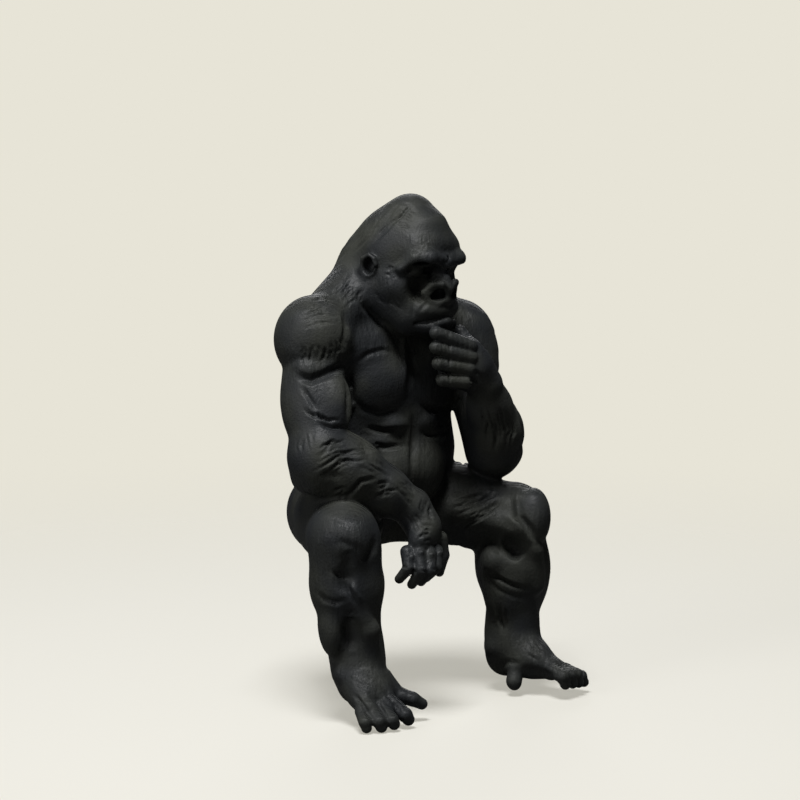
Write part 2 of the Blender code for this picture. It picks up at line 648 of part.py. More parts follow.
def face_forms():
    """Brows, nose, lips, chin and ears, pressed on the head."""
    nose_root = Vector((0, -12, 3.4))
    nose_end = Vector((0, -14.2, -0.6))
    middle_of_lip = Vector((0, -16, -11.2))
    forms = [
        limb(nose_root, NOSE_BRIDGE_R, nose_end, NOSE_TIP_R),
        ball(Vector((0, -15.6, -1.6)), NOSE_PAD_SIZE),
        ball(Vector((0, -13.2, -7.2)), UPPER_LIP_SIZE),
        ball(Vector((0, -12.2, -11.6)), CHIN_SIZE),
    ]
    for side in (RIGHT, LEFT):
        middle_of_brow = Vector((side * 6.2, -12.2, 5.4))
        end_of_brow = Vector((side * 10.4, -8.6, 2.4))
        side_of_lip = Vector((side * 4.4, -15, -11.8))
        forms += [
            limb(Vector((0, -12.1, 4.6)), BROW_R, middle_of_brow, BROW_R),
            limb(middle_of_brow, BROW_R, end_of_brow, BROW_END_R),
            ball(Vector((side * 3.5, -14.7, -2.6)), NOSTRIL_WING_SIZE, (0, 0, -side * 14)),
            limb(middle_of_lip, LOWER_LIP_R, side_of_lip, LOWER_LIP_R),
            ball(Vector((side * 12.8, 1, 0)), EAR_SIZE, (0, 0, -side * 14)),
        ]
    return placed_on_head(forms)


def face_cuts():
    """Eye sockets, nostrils, the line of the mouth and the hollows of the ears."""
    forms = []
    for side in (RIGHT, LEFT):
        lip = Vector((side * 4.6, -16.9, -9.4))
        corner = Vector((side * 8.6, -13.6, -11.2))
        forms += [
            ball(Vector((side * 6.2, -13.4, 1.6)), SOCKET_SIZE, (0, -side * 8, -side * 20)),
            ball(Vector((side * 2.5, -17, -3.2)), NOSTRIL_SIZE, (0, side * 20, 0)),
            limb(Vector((0, -18, -8.9)), MOUTH_LINE_R, lip, MOUTH_LINE_R),
            limb(lip, MOUTH_LINE_R, corner, MOUTH_LINE_R),
            ball(Vector((side * 14.7, 0.2, 0.3)), EAR_HOLLOW_SIZE, (0, 0, -side * 14)),
        ]
    return placed_on_head(forms)


def eyelid_forms():
    """The swelling of lids and eyeball inside each socket, and the bag under it."""
    forms = []
    for side in (RIGHT, LEFT):
        forms += [
            ball(Vector((side * 6.1, -10.4, 1.5)), EYELID_SIZE, (0, side * 8, -side * 10)),
            ball(Vector((side * 6.6, -11, -2.6)), EYE_BAG_SIZE, (0, side * 8, -side * 24)),
        ]
    return placed_on_head(forms)


def shelf_mesh():
    """The shelf corner as a box: its top at z = 0, its front at SHELF_FRONT_Y."""
    bm = bmesh.new()
    size = Matrix.Diagonal([2 * SHELF_REACH * MM, SHELF_REACH * MM, SHELF_REACH * MM]).to_4x4()
    middle = Vector((0, SHELF_FRONT_Y + SHELF_REACH / 2, -SHELF_REACH / 2)) * MM
    bmesh.ops.create_cube(bm, size=1, matrix=Matrix.Translation(middle) @ size)
    mesh = bpy.data.meshes.new("shelf_corner")
    bm.to_mesh(mesh)
    bm.free()
    return mesh


def plastic():
    material = bpy.data.materials.new("matte black plastic")
    material.use_nodes = True
    shader = material.node_tree.nodes["Principled BSDF"]
    shader.inputs["Base Color"].default_value = BODY_COLOUR
    shader.inputs["Roughness"].default_value = ROUGHNESS
    shader.inputs["Metallic"].default_value = 0.0
    material.diffuse_color = BODY_COLOUR
    return material


def build():
    clear_scene()
    parts = new_collection("gorilla figurine")
    helpers = new_collection("cutters")
    helpers.hide_render = True
    skins = [
        region("torso", helpers, torso_muscles(), torso_masses(), torso_cuts()),
        region("right_arm", helpers, right_arm_muscles(), right_arm_masses()),
        region("left_arm", helpers, left_arm_muscles(), left_arm_masses(), [armpit_gap()]),
        region("right_leg", helpers, right_leg_muscles(), leg_masses(RIGHT), right_knee_hollow()),
        region("left_leg", helpers, left_leg_muscles(), leg_masses(LEFT), left_knee_hollow()),
        region("right_foot", helpers, right_foot_forms(), right_foot_masses()),
        region("left_foot", helpers, left_foot_forms(), left_foot_masses()),
        region("hanging_hand", helpers, hanging_hand_forms()),
        region("fist", helpers, fist_forms()),
        region("head", helpers, face_forms(), head_masses(), face_cuts()),
        region("eyelids", helpers, eyelid_forms()),
    ]
    whole = evaluated_mesh(fused("whole", skins, helpers, SOFTENING["whole"][1], SKIN_VOXEL))

    figurine = bpy.data.objects.new("gorilla_figurine", whole)
    parts.objects.link(figurine)
    figurine.data.materials.clear()
    figurine.data.materials.append(plastic())
    decimate = figurine.modifiers.new("even facets", "DECIMATE")
    decimate.ratio = TRIANGLES / (2 * len(whole.polygons))
    shelf = bpy.data.objects.new("shelf_corner", shelf_mesh())
    helpers.objects.link(shelf)
    shelf.hide_render = True
    shelf.display_type = "WIRE"
    seat = figurine.modifiers.new("seat and calf flats", "BOOLEAN")
    seat.operation = "DIFFERENCE"
    seat.solver = "EXACT"
    seat.object = shelf
    figurine.data.shade_smooth()


build()
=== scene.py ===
# %% [markdown]
# # A seated gorilla, printed in black plastic
# The figurine is one solid print: a gorilla that sits on the edge of a shelf, with one hand
# under its chin and the other hanging over its thigh. The lesson shows how to sculpt such a
# figure with nothing but numpy, and how to finish it as a printed piece in Blender.

# %% [markdown]
# ## The frame
# The imported CAD model is loaded first. It gives the real size and place of the figure, and
# the sculpted surface is laid over it.

# %% Load the imported figure
import math
import bpy
import numpy as np
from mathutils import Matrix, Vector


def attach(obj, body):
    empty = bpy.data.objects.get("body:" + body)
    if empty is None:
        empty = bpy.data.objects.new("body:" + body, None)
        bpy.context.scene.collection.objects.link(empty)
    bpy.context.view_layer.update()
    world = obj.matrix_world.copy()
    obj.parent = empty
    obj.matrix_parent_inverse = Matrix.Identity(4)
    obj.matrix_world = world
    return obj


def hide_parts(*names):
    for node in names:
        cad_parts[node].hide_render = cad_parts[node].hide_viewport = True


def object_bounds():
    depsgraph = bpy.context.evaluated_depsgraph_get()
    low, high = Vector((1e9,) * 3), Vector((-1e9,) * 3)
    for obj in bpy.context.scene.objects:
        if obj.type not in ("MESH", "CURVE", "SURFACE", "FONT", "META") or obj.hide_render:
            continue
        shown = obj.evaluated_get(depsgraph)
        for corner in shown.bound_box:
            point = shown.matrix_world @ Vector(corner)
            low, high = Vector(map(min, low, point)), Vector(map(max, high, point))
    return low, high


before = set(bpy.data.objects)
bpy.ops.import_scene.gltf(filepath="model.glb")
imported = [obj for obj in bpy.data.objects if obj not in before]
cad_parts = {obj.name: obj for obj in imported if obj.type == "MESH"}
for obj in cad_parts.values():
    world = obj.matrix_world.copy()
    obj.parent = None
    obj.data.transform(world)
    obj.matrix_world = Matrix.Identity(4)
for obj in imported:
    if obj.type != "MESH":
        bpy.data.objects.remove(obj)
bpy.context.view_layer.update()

# %% [markdown]
# ## A block of clay
# A figure like this has no flat face and no clear edge, so it can't be built well from
# panels. It is worked out as a distance field instead: every point of a grid holds its
# distance to the surface, negative inside. Two forms are joined by taking the smaller
# distance, and rounding that choice melts one into the other, as clay is smoothed by a thumb.

# %% The grid, in millimetres
MM = 0.001
GRID_LOW = (-46.0, -60.0, -42.0)
GRID_HIGH = (49.0, 17.0, 102.0)
GRID_STEP = 0.4
FAR = 60.0
AXES = [np.arange(low, high, GRID_STEP) for low, high in zip(GRID_LOW, GRID_HIGH)]
print("grid points:", " x ".join(str(len(axis)) for axis in AXES))


def at(x, y, z):
    """A place in millimetres: x to the figure's left, y to its back, z up from the shelf."""
    return np.array((x, y, z), float)


def along(start, end, share, x=0.0, y=0.0, z=0.0):
    """The place at a share of the way from start to end, moved by x, y and z."""
    return start + (end - start) * share + at(x, y, z)


SEEN_RIGHT, SEEN_FRONT = at(0.7804, -0.6252, 0), at(-0.6252, -0.7804, 0)


def beside(start, end, right, front, z):
    """The place at height z beside the bone from start to end, as the main view sees it: to the
    right of the bone and in front of it."""
    share = (z - start[2]) / (end[2] - start[2])
    return start + (end - start) * share + SEEN_RIGHT * right + SEEN_FRONT * front


# %% [markdown]
# Two forms meet in a crease or melt into each other. One small sum does both, and its width
# says how far the melt reaches. A turning matrix lets a form lie at any angle.

# %% Joining and turning
def melt(a, b, width):
    """The smaller of two distances. Where they differ by less than width, the corner is
    rounded: width / 4 times the squared share of the overlap is taken away."""
    near = np.maximum(width - np.abs(a - b), 0.0) / width
    return np.minimum(a, b) - near * near * width / 4


def turning(degrees):
    """The matrix that turns about x, then y, then z."""
    (cx, cy, cz), (sx, sy, sz) = np.cos(np.radians(degrees)), np.sin(np.radians(degrees))
    about_x = np.array([[1, 0, 0], [0, cx, -sx], [0, sx, cx]])
    about_y = np.array([[cy, 0, sy], [0, 1, 0], [-sy, 0, cy]])
    about_z = np.array([[cz, -sz, 0], [sz, cz, 0], [0, 0, 1]])
    return about_z @ about_y @ about_x


print("a melt 4 mm wide fills a crease by", -float(melt(0.0, 0.0, 4.0)), "mm")

# %% [markdown]
# Two forms are enough for a whole figure. A lump is an ellipsoid, for a muscle or a cheek. A
# limb is a cone with round ends, for a bone with its flesh, a finger or a wrinkle.

# %% Two forms: a lump and a limb
def lump_distance(points, centre, radii, matrix):
    """Distance to an ellipsoid: with k the length of the place divided by the radii, and m the
    length when divided by their squares, it is k (k - 1) / m."""
    local = (points - centre) @ matrix
    k = np.linalg.norm(local / radii, axis=-1)
    m = np.linalg.norm(local / np.square(radii), axis=-1)
    return k * (k - 1) / np.maximum(m, 1e-6)


def limb_distance(points, start, end, start_radius, end_radius):
    """Distance to a cone with round ends: a place is dropped onto the bone at the angle of the
    cone's side, held between the ends, and the radius there is taken from its distance."""
    bone = end - start
    length = np.linalg.norm(bone)
    bone = bone / length
    slope = (start_radius - end_radius) / length
    offset = points - start
    run = offset @ bone
    out = np.sqrt(np.maximum((offset * offset).sum(-1) - run * run, 0.0))
    lean = slope / math.sqrt(max(1.0 - slope * slope, 1e-6))
    share = np.clip((run + out * lean) / length, 0.0, 1.0)
    gap = np.sqrt(np.square(run - share * length) + out * out)
    return gap - (start_radius + (end_radius - start_radius) * share)


gap = lump_distance(at(5, 0, 0), at(0, 0, 0), at(2, 2, 2), np.eye(3))
print("seen from 5 mm, a ball of 2 mm is", float(gap), "mm away")

# %% [markdown]
# The clay holds one number for each grid point. A form is worked out only in the box round
# it, because the whole grid has millions of points.

# %% The clay itself
class Clay:
    """A region's distances on the grid, with the tools that press forms into it."""

    def __init__(self, place=(0.0, 0.0, 0.0), turn=(0.0, 0.0, 0.0)):
        self.field = np.full([len(axis) for axis in AXES], FAR, np.float32)
        self.place = np.array(place, float)
        self.turn = turning(turn)
        self.used = None

    def window(self, low, high):
        """The grid's slices between two corners, and the points there."""
        cuts = []
        for axis, first, last in zip(AXES, low, high):
            begin = max(int(np.searchsorted(axis, first)) - 1, 0)
            cuts.append(slice(begin, max(int(np.searchsorted(axis, last)) + 1, begin)))
        grids = np.meshgrid(*[axis[cut] for axis, cut in zip(AXES, cuts)], indexing="ij")
        return tuple(cuts), np.stack(grids, -1)

    def press(self, cuts, distance, blend, carve):
        """Joins a form to the clay, or takes it away."""
        here = self.field[cuts]
        if carve:
            self.field[cuts] = -melt(-here, distance, blend)
            return
        self.field[cuts] = melt(here, distance, blend)
        if self.used is None:
            self.used = cuts
        self.used = tuple(slice(min(a.start, b.start), max(a.stop, b.stop))
                          for a, b in zip(self.used, cuts))

    def lump(self, centre, radii, turn=(0, 0, 0), blend=3.0, carve=False, pair=False):
        """An ellipsoid in the region's own frame, with its mirror image if pair is set."""
        centre, radii = np.array(centre, float), np.array(radii, float)
        matrix = self.turn @ turning(turn)
        middle = self.turn @ centre + self.place
        reach = np.linalg.norm(matrix * radii, axis=1) + blend + 2
        cuts, points = self.window(middle - reach, middle + reach)
        self.press(cuts, lump_distance(points, middle, radii, matrix), blend, carve)
        if pair:
            other = (turn[0], -turn[1], -turn[2])
            self.lump(centre * (-1, 1, 1), radii, other, blend, carve)

    def limb(self, start, start_radius, end, end_radius, blend=3.0, carve=False, pair=False):
        """A cone with round ends in the region's own frame, mirrored too if pair is set."""
        start, end = np.array(start, float), np.array(end, float)
        a, b = self.turn @ start + self.place, self.turn @ end + self.place
        reach = blend + 2
        low = np.minimum(a - start_radius, b - end_radius) - reach
        high = np.maximum(a + start_radius, b + end_radius) + reach
        cuts, points = self.window(low, high)
        distance = limb_distance(points, a, b, start_radius, end_radius)
        self.press(cuts, distance, blend, carve)
        if pair:
            side = (-1, 1, 1)
            self.limb(start * side, start_radius, end * side, end_radius, blend, carve)

    def chain(self, places, radii, blend, carve=False, pair=False):
        """Limbs from place to place, with one radius for each place."""
        for start, end, wide, thin in zip(places, places[1:], radii, radii[1:]):
            self.limb(start, wide, end, thin, blend, carve, pair)

    def join(self, other, blend):
        """Melts another region into this one, in the part of the grid that it uses."""
        self.press(other.used, other.field[other.used], blend, False)


print("each region holds", math.prod(len(axis) for axis in AXES), "distances")

# %% [markdown]
# ## The skeleton
# Every form hangs on a few joints, as on an armature of wire. The joints are the figure's
# own: it leans forward, its right forearm crosses its thigh, and its left hand holds its chin.

# %% Joints, in millimetres
RIGHT, LEFT = -1, 1
PELVIS, WAIST, CHEST, NECK = at(0, -6, 13), at(0, -12.5, 30), at(0, -13, 46), at(0, -10, 66)
HEAD, HEAD_TURN = at(1.5, -19.0, 80.0), (14, 0, 12)
SHOULDER = {RIGHT: at(-26, -15, 61), LEFT: at(25.5, -15.5, 58)}
ELBOW = {RIGHT: at(-31.5, -25.5, 31), LEFT: at(26.5, -29, 28.5)}
WRIST = {RIGHT: at(-9, -36, 17.5), LEFT: at(16.5, -36, 48.5)}
HIP = {RIGHT: at(-13, -7, 12), LEFT: at(13, -7, 12)}
KNEE = {RIGHT: at(-29.5, -33.5, 11), LEFT: at(29.5, -33.5, 9.5)}
ANKLE = {RIGHT: at(-25.5, -33, -22), LEFT: at(30, -32.5, -24)}
for name, pair in (("upper arm", (SHOULDER, ELBOW)), ("shin", (KNEE, ANKLE))):
    print(name, [round(float(np.linalg.norm(pair[1][s] - pair[0][s])), 1) for s in (RIGHT, LEFT)])

# %% [markdown]
# ## The trunk
# The trunk is a few large masses, melted widely into each other. The muscles that show are
# pressed on top with a narrow melt, which leaves the soft crease that divides them.

# %% Chest, belly and back
torso = Clay()
torso.lump(PELVIS + at(0, 3, 0), (18, 12.5, 13.4))
torso.lump(WAIST, (21.5, 12.5, 17), blend=8)
torso.lump(CHEST, (23, 12.5, 18), (8, 0, 0), 8)
torso.lump(CHEST + at(0, 8, 9), (22, 11, 14), (16, 0, 0), 8)
torso.limb(NECK + at(0, 3, -6), 13, HEAD + at(-1.5, 7, 1), 9.5, 8)
torso.limb(SHOULDER[RIGHT] + at(3, 1, 3), 8, HEAD + at(-4, 8, -2), 8.6, 6)
torso.limb(SHOULDER[LEFT] + at(-4, 2, 4), 7.5, HEAD + at(3, 8, -3), 8, 6)
for side in (RIGHT, LEFT):
    torso.lump((side * 9.6, -20.2, 48.6), (9.6, 6.2, 9.6), (8, 0, side * 20), 2.6)
    torso.limb((side * 20.0, -17.5, 58), 5.6, (side * 9, -17.5, 60), 5.6, 4)
    torso.lump((side * 5.8, -23.6, 38.2), (4.2, 3.2, 2.9), (0, 0, side * 14), 1.2)
    torso.lump((side * 9.2, -21.8, 33.8), (5.2, 3.6, 2.7), (0, 0, side * 20), 1.2)
    torso.lump((side * 5.0, -20.3, 25.5), (8.4, 8.2, 9.6), (0, 0, side * 10), 2.4)
    torso.lump((side * 15.2, -15.6, 41), (5, 4.5, 10), (0, side * 14, side * 30), 2.5)
    torso.lump((side * 15, -15.5, 28), (5.5, 5.5, 10), (0, 0, side * 30), 4)
    torso.lump((side * 11, -0.8, 11.5), (10.6, 10.8, 11.6), blend=4)
    torso.lump((side * 12, 0.5, 55), (9, 6.5, 9.5), (16, 0, -side * 14), 3)
    torso.lump((side * 16, -3.5, 42), (8, 9, 17), (6, side * 12, 0), 5)
    torso.limb((side * 5, 3.5, 20), 4.5, (side * 5, 5.0, 50), 4.5, 5)
torso.limb((0, 10.5, 60), 1.4, (0, 9.8, 20), 1.4, 4, carve=True)
torso.limb((0, 12.5, 16), 1.2, (0, 10, -2), 1.6, 3, carve=True)
print("trunk forms done")

# %% [markdown]
# ## The arms
# Each arm is a shoulder cap, an upper arm with its two muscles, and a heavy forearm that
# swells below the elbow. The right one is seen closest, so it carries more muscles.

# %% Right arm
def right_arm():
    """The near arm from the shoulder to the wrist, with its biceps, triceps and elbow."""
    clay = Clay()
    shoulder, elbow, wrist = SHOULDER[RIGHT], ELBOW[RIGHT], WRIST[RIGHT]
    clay.limb(along(shoulder, elbow, 0.2), 8.4, along(shoulder, elbow, 0.6, -0.3), 7.8, 3)
    clay.limb(along(shoulder, elbow, 0.55, -0.5), 7.6, elbow + at(-0.5, 0, 3), 7.6, 3)
    clay.lump(beside(shoulder, elbow, -2.4, 0.5, 46), (6.8, 7.4, 12), (-18, 6, 0), 2)
    clay.lump(beside(shoulder, elbow, 3.8, 3.6, 46), (5.4, 6.0, 9.8), (-18, 8, 0), 0.7)
    clay.lump(shoulder + at(-0.3, -0.4, 1.5), (10.2, 10.6, 11.5), (0, 12, 0), 0.7)
    clay.limb(shoulder + at(0, -0.6, 2), 9.6, beside(shoulder, elbow, -1.6, 4.9, 54.5), 4.4, 0.7)
    clay.lump(beside(shoulder, elbow, 4.6, 2.0, 61), (5.4, 6.2, 9.0), (4, 0, 0), 1.2)
    clay.lump(elbow, (8.0, 8.2, 8.8), blend=3)
    clay.limb(elbow + at(0.5, -1, 0), 8.4, along(elbow, wrist, 0.34, 0, 0, 1.0), 8.8, 3)
    clay.limb(along(elbow, wrist, 0.34, 0, 0, 1), 8.8, along(elbow, wrist, 0.68, 0, 0, 0.6), 6.6, 3)
    clay.limb(along(elbow, wrist, 0.68, 0, 0, 0.6), 6.6, wrist, 5.2, 3)
    clay.lump(along(elbow, wrist, 0.18, 1.5, -1.5, 4.2), (9.0, 5.4, 5.4), (0, 24, -25), 2)
    clay.lump(elbow + at(-3.8, 2.0, -4.8), (3.2, 3.2, 3.6), blend=2)
    return clay


arms = right_arm()
print("right arm done")

# %% [markdown]
# The far arm is bent more, and its forearm rises from the thigh to the chin. It has the same
# bones, with fewer muscles, because less of it is seen.

# %% Left arm
def left_arm():
    """The far arm, whose forearm rises from the thigh to the chin."""
    clay = Clay()
    shoulder, elbow, wrist = SHOULDER[LEFT], ELBOW[LEFT], WRIST[LEFT]
    clay.lump(shoulder + at(0.4, 0.2, -0.5), (9.3, 9.8, 12), (0, -12, 0), 2)
    clay.limb(along(shoulder, elbow, 0.2), 8.2, along(shoulder, elbow, 0.62), 7.0, 3)
    clay.lump(along(shoulder, elbow, 0.5, 1.0, 2.8, 0), (6.2, 5.8, 10.5), (-20, 0, 0), 2)
    clay.lump(along(shoulder, elbow, 0.5, -1.0, -2.8, 0), (5.2, 5.2, 8.5), (-22, 0, 0), 2)
    clay.limb(along(shoulder, elbow, 0.62), 7.0, elbow + at(0, 0.5, 0.5), 6.8, 3)
    clay.limb(elbow + at(0, -0.5, 0.5), 6.2, along(elbow, wrist, 0.3, 1.2, -0.5, 0), 6.6, 3)
    clay.limb(along(elbow, wrist, 0.3, 1.2, -0.5), 6.6, along(elbow, wrist, 0.66, 0.6), 5.8, 3)
    clay.limb(along(elbow, wrist, 0.66, 0.6), 5.8, wrist, 4.9, 3)
    clay.limb(along(shoulder, elbow, 0.5, -1.6, 1.2), 5.4, elbow + at(-1.5, 1.2, 0), 6.4, 2)
    clay.lump(elbow + at(0.3, 0, -4.0), (3.6, 3.6, 3.4), blend=2)
    clay.lump(elbow + at(1.3, -0.6, 4.0), (6.3, 6.3, 10.0), (-6, 0, 0), 2)
    clay.lump(along(elbow, wrist, 0.25, 3.9, 0.6, 1.0), (4.7, 4.8, 9.4), (20, -20, 0), 2)
    return clay


arms.join(left_arm(), 1)
print("left arm done")

# %% [markdown]
# ## The hands
# A finger is two or three short bones, each a limb with a narrow melt, so that the knuckles
# and the gaps between fingers stay clear. The right hand hangs, the left one is a loose fist.

# %% Right hand
def finger(clay, root, places, radii, blend):
    """A chain of limbs from the root joint's places, with a narrow melt after the first."""
    for a, b, wide, thin in zip(places, places[1:], radii, radii[1:]):
        clay.limb(root + at(*a), wide, root + at(*b), thin, blend)
        blend = FINGER_BLEND


FINGER_BLEND = 0.3
FINGER_RADII, THUMB_RADII = (1.85, 1.6, 1.3), (2.2, 1.75, 1.3)
HANGING_FINGERS = {
    "little": [(-5.0, -4.5, -11.0), (-6.0, -6.5, -15.0), (-7.2, -4.0, -18.2)],
    "ring": [(-2.6, -6.6, -11.3), (-3.6, -8.8, -15.5), (-4.2, -5.6, -19.8)],
    "middle": [(0.5, -7.2, -11.6), (-1.1, -9.4, -15.8), (-1.7, -6.4, -19.2)],
    "index": [(3.6, -6.4, -11.5), (1.9, -8.4, -15.5), (0.8, -5.4, -18.6)],
    "thumb": [(7.0, -3.6, -9.0), (7.9, -4.0, -13.5), (6.6, -4.0, -18.0)],
}


def right_hand():
    """The hanging hand: its back, then four fingers and the thumb."""
    clay, wrist = Clay(), WRIST[RIGHT]
    clay.limb(wrist, 5.2, wrist + at(2.2, -2.2, -5), 5.0, 2)
    clay.lump(wrist + at(1.0, -4.2, -8.4), (5.6, 3.6, 5.4), (14, -8, 22), 2)
    for name, places in HANGING_FINGERS.items():
        finger(clay, wrist, places, THUMB_RADII if name == "thumb" else FINGER_RADII, 0.5)
    return clay


hanging_hand = right_hand()
print("right hand done, with", ", ".join(HANGING_FINGERS))

# %% [markdown]
# The fist's fingers fold back on themselves, so each has its three joints at nearly one width.
# They lie one above the other, as the chin rests on them.

# %% Left fist
FIST_RADII = (2.05, 1.8, 1.7)
FIST_FINGERS = {
    "index": [(-7.2, -2.6, 11.2), (-17.2, -0.4, 15.3), (-9.0, 5.5, 12.0)],
    "middle": [(-7.4, -3.2, 8.2), (-17.2, -0.4, 11.4), (-9.0, 5.5, 9.0)],
    "ring": [(-8.0, -3.2, 5.2), (-16.4, -0.4, 7.1), (-8.5, 5.5, 5.0)],
    "little": [(-9.0, -2.8, 1.8), (-15.0, -0.4, 2.5), (-7.5, 5.5, 1.0)],
}


def left_fist():
    """The fist under the chin: palm, heel, four bent fingers and the thumb behind them."""
    clay, wrist = Clay(), WRIST[LEFT]
    clay.limb(wrist, 4.9, wrist + at(-3.6, -0.4, 5), 5.2, 2)
    clay.lump(wrist + at(-5.2, 0.2, 6.0), (4.4, 5.0, 7.6), (0, -8, 30), 2)
    clay.lump(wrist + at(-7, 4, 6.0), (5.5, 4, 7.2), blend=2)
    for places in FIST_FINGERS.values():
        finger(clay, wrist, places, FIST_RADII, 0.35)
    clay.limb(wrist + at(-3.4, 0.5, 9.0), 2.6, wrist + at(-5.6, 3.4, 14.6), 1.7, 1)
    return clay


fist = left_fist()
print("left fist done, with", ", ".join(FIST_FINGERS))

# %% [markdown]
# ## The legs and feet
# A thigh, a kneecap, a calf with an inner and an outer muscle, and the blade of the shin. A
# gorilla's foot is also a hand: its big toe stands apart and its other toes can curl.

# %% Legs
def leg(side):
    """What both legs share: thigh, knee and the two heads of the calf."""
    clay, hip, knee, ankle = Clay(), HIP[side], KNEE[side], ANKLE[side]
    calf = along(knee, ankle, 0.40)
    clay.limb(hip + at(0, 0, 0.5), 12.0, along(hip, knee, 0.5, 0, 0, 1.5), 11.3, 3)
    clay.limb(along(hip, knee, 0.5, 0, 0, 1.5), 11.3, knee + at(0, 1.5, 0), 9.2, 4)
    clay.lump(knee + at(side * 0.3, 0, 0.5), (8.8, 8.9, 9.4), blend=3)
    clay.limb(knee + at(0, -0.2, -6), 8.0, calf, 8.6, 3)
    clay.limb(calf, 8.6, ankle + at(0, 0, 3), 6.9, 3)
    clay.lump(calf + at(side * 4.4, 1.0, 1.5), (6.0, 7.4, 11.0), blend=2.5)
    clay.lump(calf + at(-side * 4.2, 1.6, 1.5), (5.6, 7.0, 10.5), blend=2.5)
    clay.limb(ankle + at(0, 0, 3), 6.9, ankle + at(0, -0.5, -2), 6.8, 3)
    return clay


def right_leg():
    """The right leg is seen from its outer side, with the kneecap and the shin in front."""
    clay, knee, ankle = leg(RIGHT), KNEE[RIGHT], ANKLE[RIGHT]
    clay.lump(beside(knee, ankle, 1.6, 5.4, 11.6), (5.2, 4.8, 6.2), (0, 0, -38), 1.4)
    clay.lump(beside(knee, ankle, 6.2, 1.0, 6.0), (3.0, 4.0, 8.0), (0, 0, -38), 2)
    clay.lump(beside(knee, ankle, -5.6, 1.5, 6.0), (3.2, 4.4, 8.0), (0, 0, -38), 2.2)
    clay.lump(beside(knee, ankle, -4.6, 3.2, -11.5), (4.6, 5.4, 9.6), (0, 0, -38), 1.2)
    clay.limb(beside(knee, ankle, 0.8, 7.2, -4.0), 2.0, beside(knee, ankle, 4.6, 5.8, -13), 2.4, 1.2)
    clay.limb(beside(knee, ankle, 4.6, 5.8, -13), 2.4, beside(knee, ankle, 4.4, 4.2, -23), 2.2, 1.4)
    clay.lump(beside(knee, ankle, -0.6, 9.8, 1.5), (2.6, 2.2, 3.6), (0, 0, -38), 1.6, carve=True)
    return clay


def left_leg():
    """The left leg is seen from its inner side: a thick band of muscle crosses the thigh down to
    the knee, and the calf's inner head stands out under it."""
    clay, knee, ankle = leg(LEFT), KNEE[LEFT], ANKLE[LEFT]
    clay.lump(beside(knee, ankle, 5.2, 4.0, 10.8), (4.8, 5.4, 8.2), (0, 0, -38), 0.9)
    clay.limb(beside(knee, ankle, -16, 3.6, 13.4), 4.6, beside(knee, ankle, 0.2, 7.2, 8.2), 2.6, 1.2)
    clay.limb(beside(knee, ankle, 0.2, 7.2, 8.2), 2.6, beside(knee, ankle, 5.4, 6.0, 1.8), 2.3, 1.0)
    clay.limb(beside(knee, ankle, 5.4, 6.0, 1.8), 2.3, beside(knee, ankle, 6.0, 4.4, -8.0), 2.6, 1.6)
    clay.lump(beside(knee, ankle, -5.4, 5.0, -1.2), (3.8, 4.4, 4.6), (0, 0, -38), 1.0)
    clay.lump(beside(knee, ankle, 0.0, 10.0, 3.2), (3.0, 3.0, 2.6), (0, 0, -38), 2.4, carve=True)
    clay.lump(beside(knee, ankle, -2.2, 3.4, -11.0), (5.6, 4.8, 8.0), (0, 0, -38), 2)
    clay.lump(along(knee, ankle, 0.46, 5.4, 0.6), (5.6, 7.2, 12.0), blend=2)
    return clay


legs = {RIGHT: right_leg(), LEFT: left_leg()}
print("legs done")

# %% [markdown]
# The feet can grip like hands. Each has a heel, the foot's bones, the ankle's bumps and five
# toes, and the big toe stands off from the others.

# %% Feet
TOE_BLEND = 0.6
TOES = {
    RIGHT: [([(-7.5, -12.0, -11.5), (-9.0, -15.5, -13.5), (-8.7, -15.7, -15.0)], (1.75, 1.75, 1.45)),
            ([(-5.5, -13.5, -11.5), (-5.5, -17.0, -13.5), (-4.9, -17.2, -15.0)], (1.9, 1.9, 1.6)),
            ([(-2.0, -14.0, -11.0), (-2.0, -18.0, -13.5), (-1.4, -18.2, -14.6)], (1.9, 1.9, 1.6)),
            ([(2.0, -13.5, -10.5), (3.0, -17.5, -13.0), (3.8, -17.7, -14.2)], (2.0, 2.0, 1.7)),
            ([(7.0, -10.0, -9.5), (9.5, -12.5, -10.5), (12.0, -13.2, -12.0)], (2.1, 2.0, 1.6))],
    LEFT: [([(1.5, -15.5, -7.0), (2.0, -19.0, -8.0), (3.0, -19.0, -10.3)], (2.0, 2.0, 1.6)),
           ([(4.5, -15.0, -7.5), (5.2, -18.5, -8.2), (6.0, -18.6, -10.6)], (1.9, 1.9, 1.5)),
           ([(8.0, -14.0, -8.0), (8.2, -17.5, -8.6), (9.1, -17.6, -11.0)], (1.8, 1.8, 1.5)),
           ([(10.5, -13.0, -9.0), (11.4, -16.0, -9.8), (12.4, -16.1, -11.6)], (1.7, 1.7, 1.4)),
           ([(-3.0, -5.5, -6.0), (-5.3, -7.0, -10.5), (-5.3, -7.2, -11.2)], (2.2, 2.2, 1.8))],
}


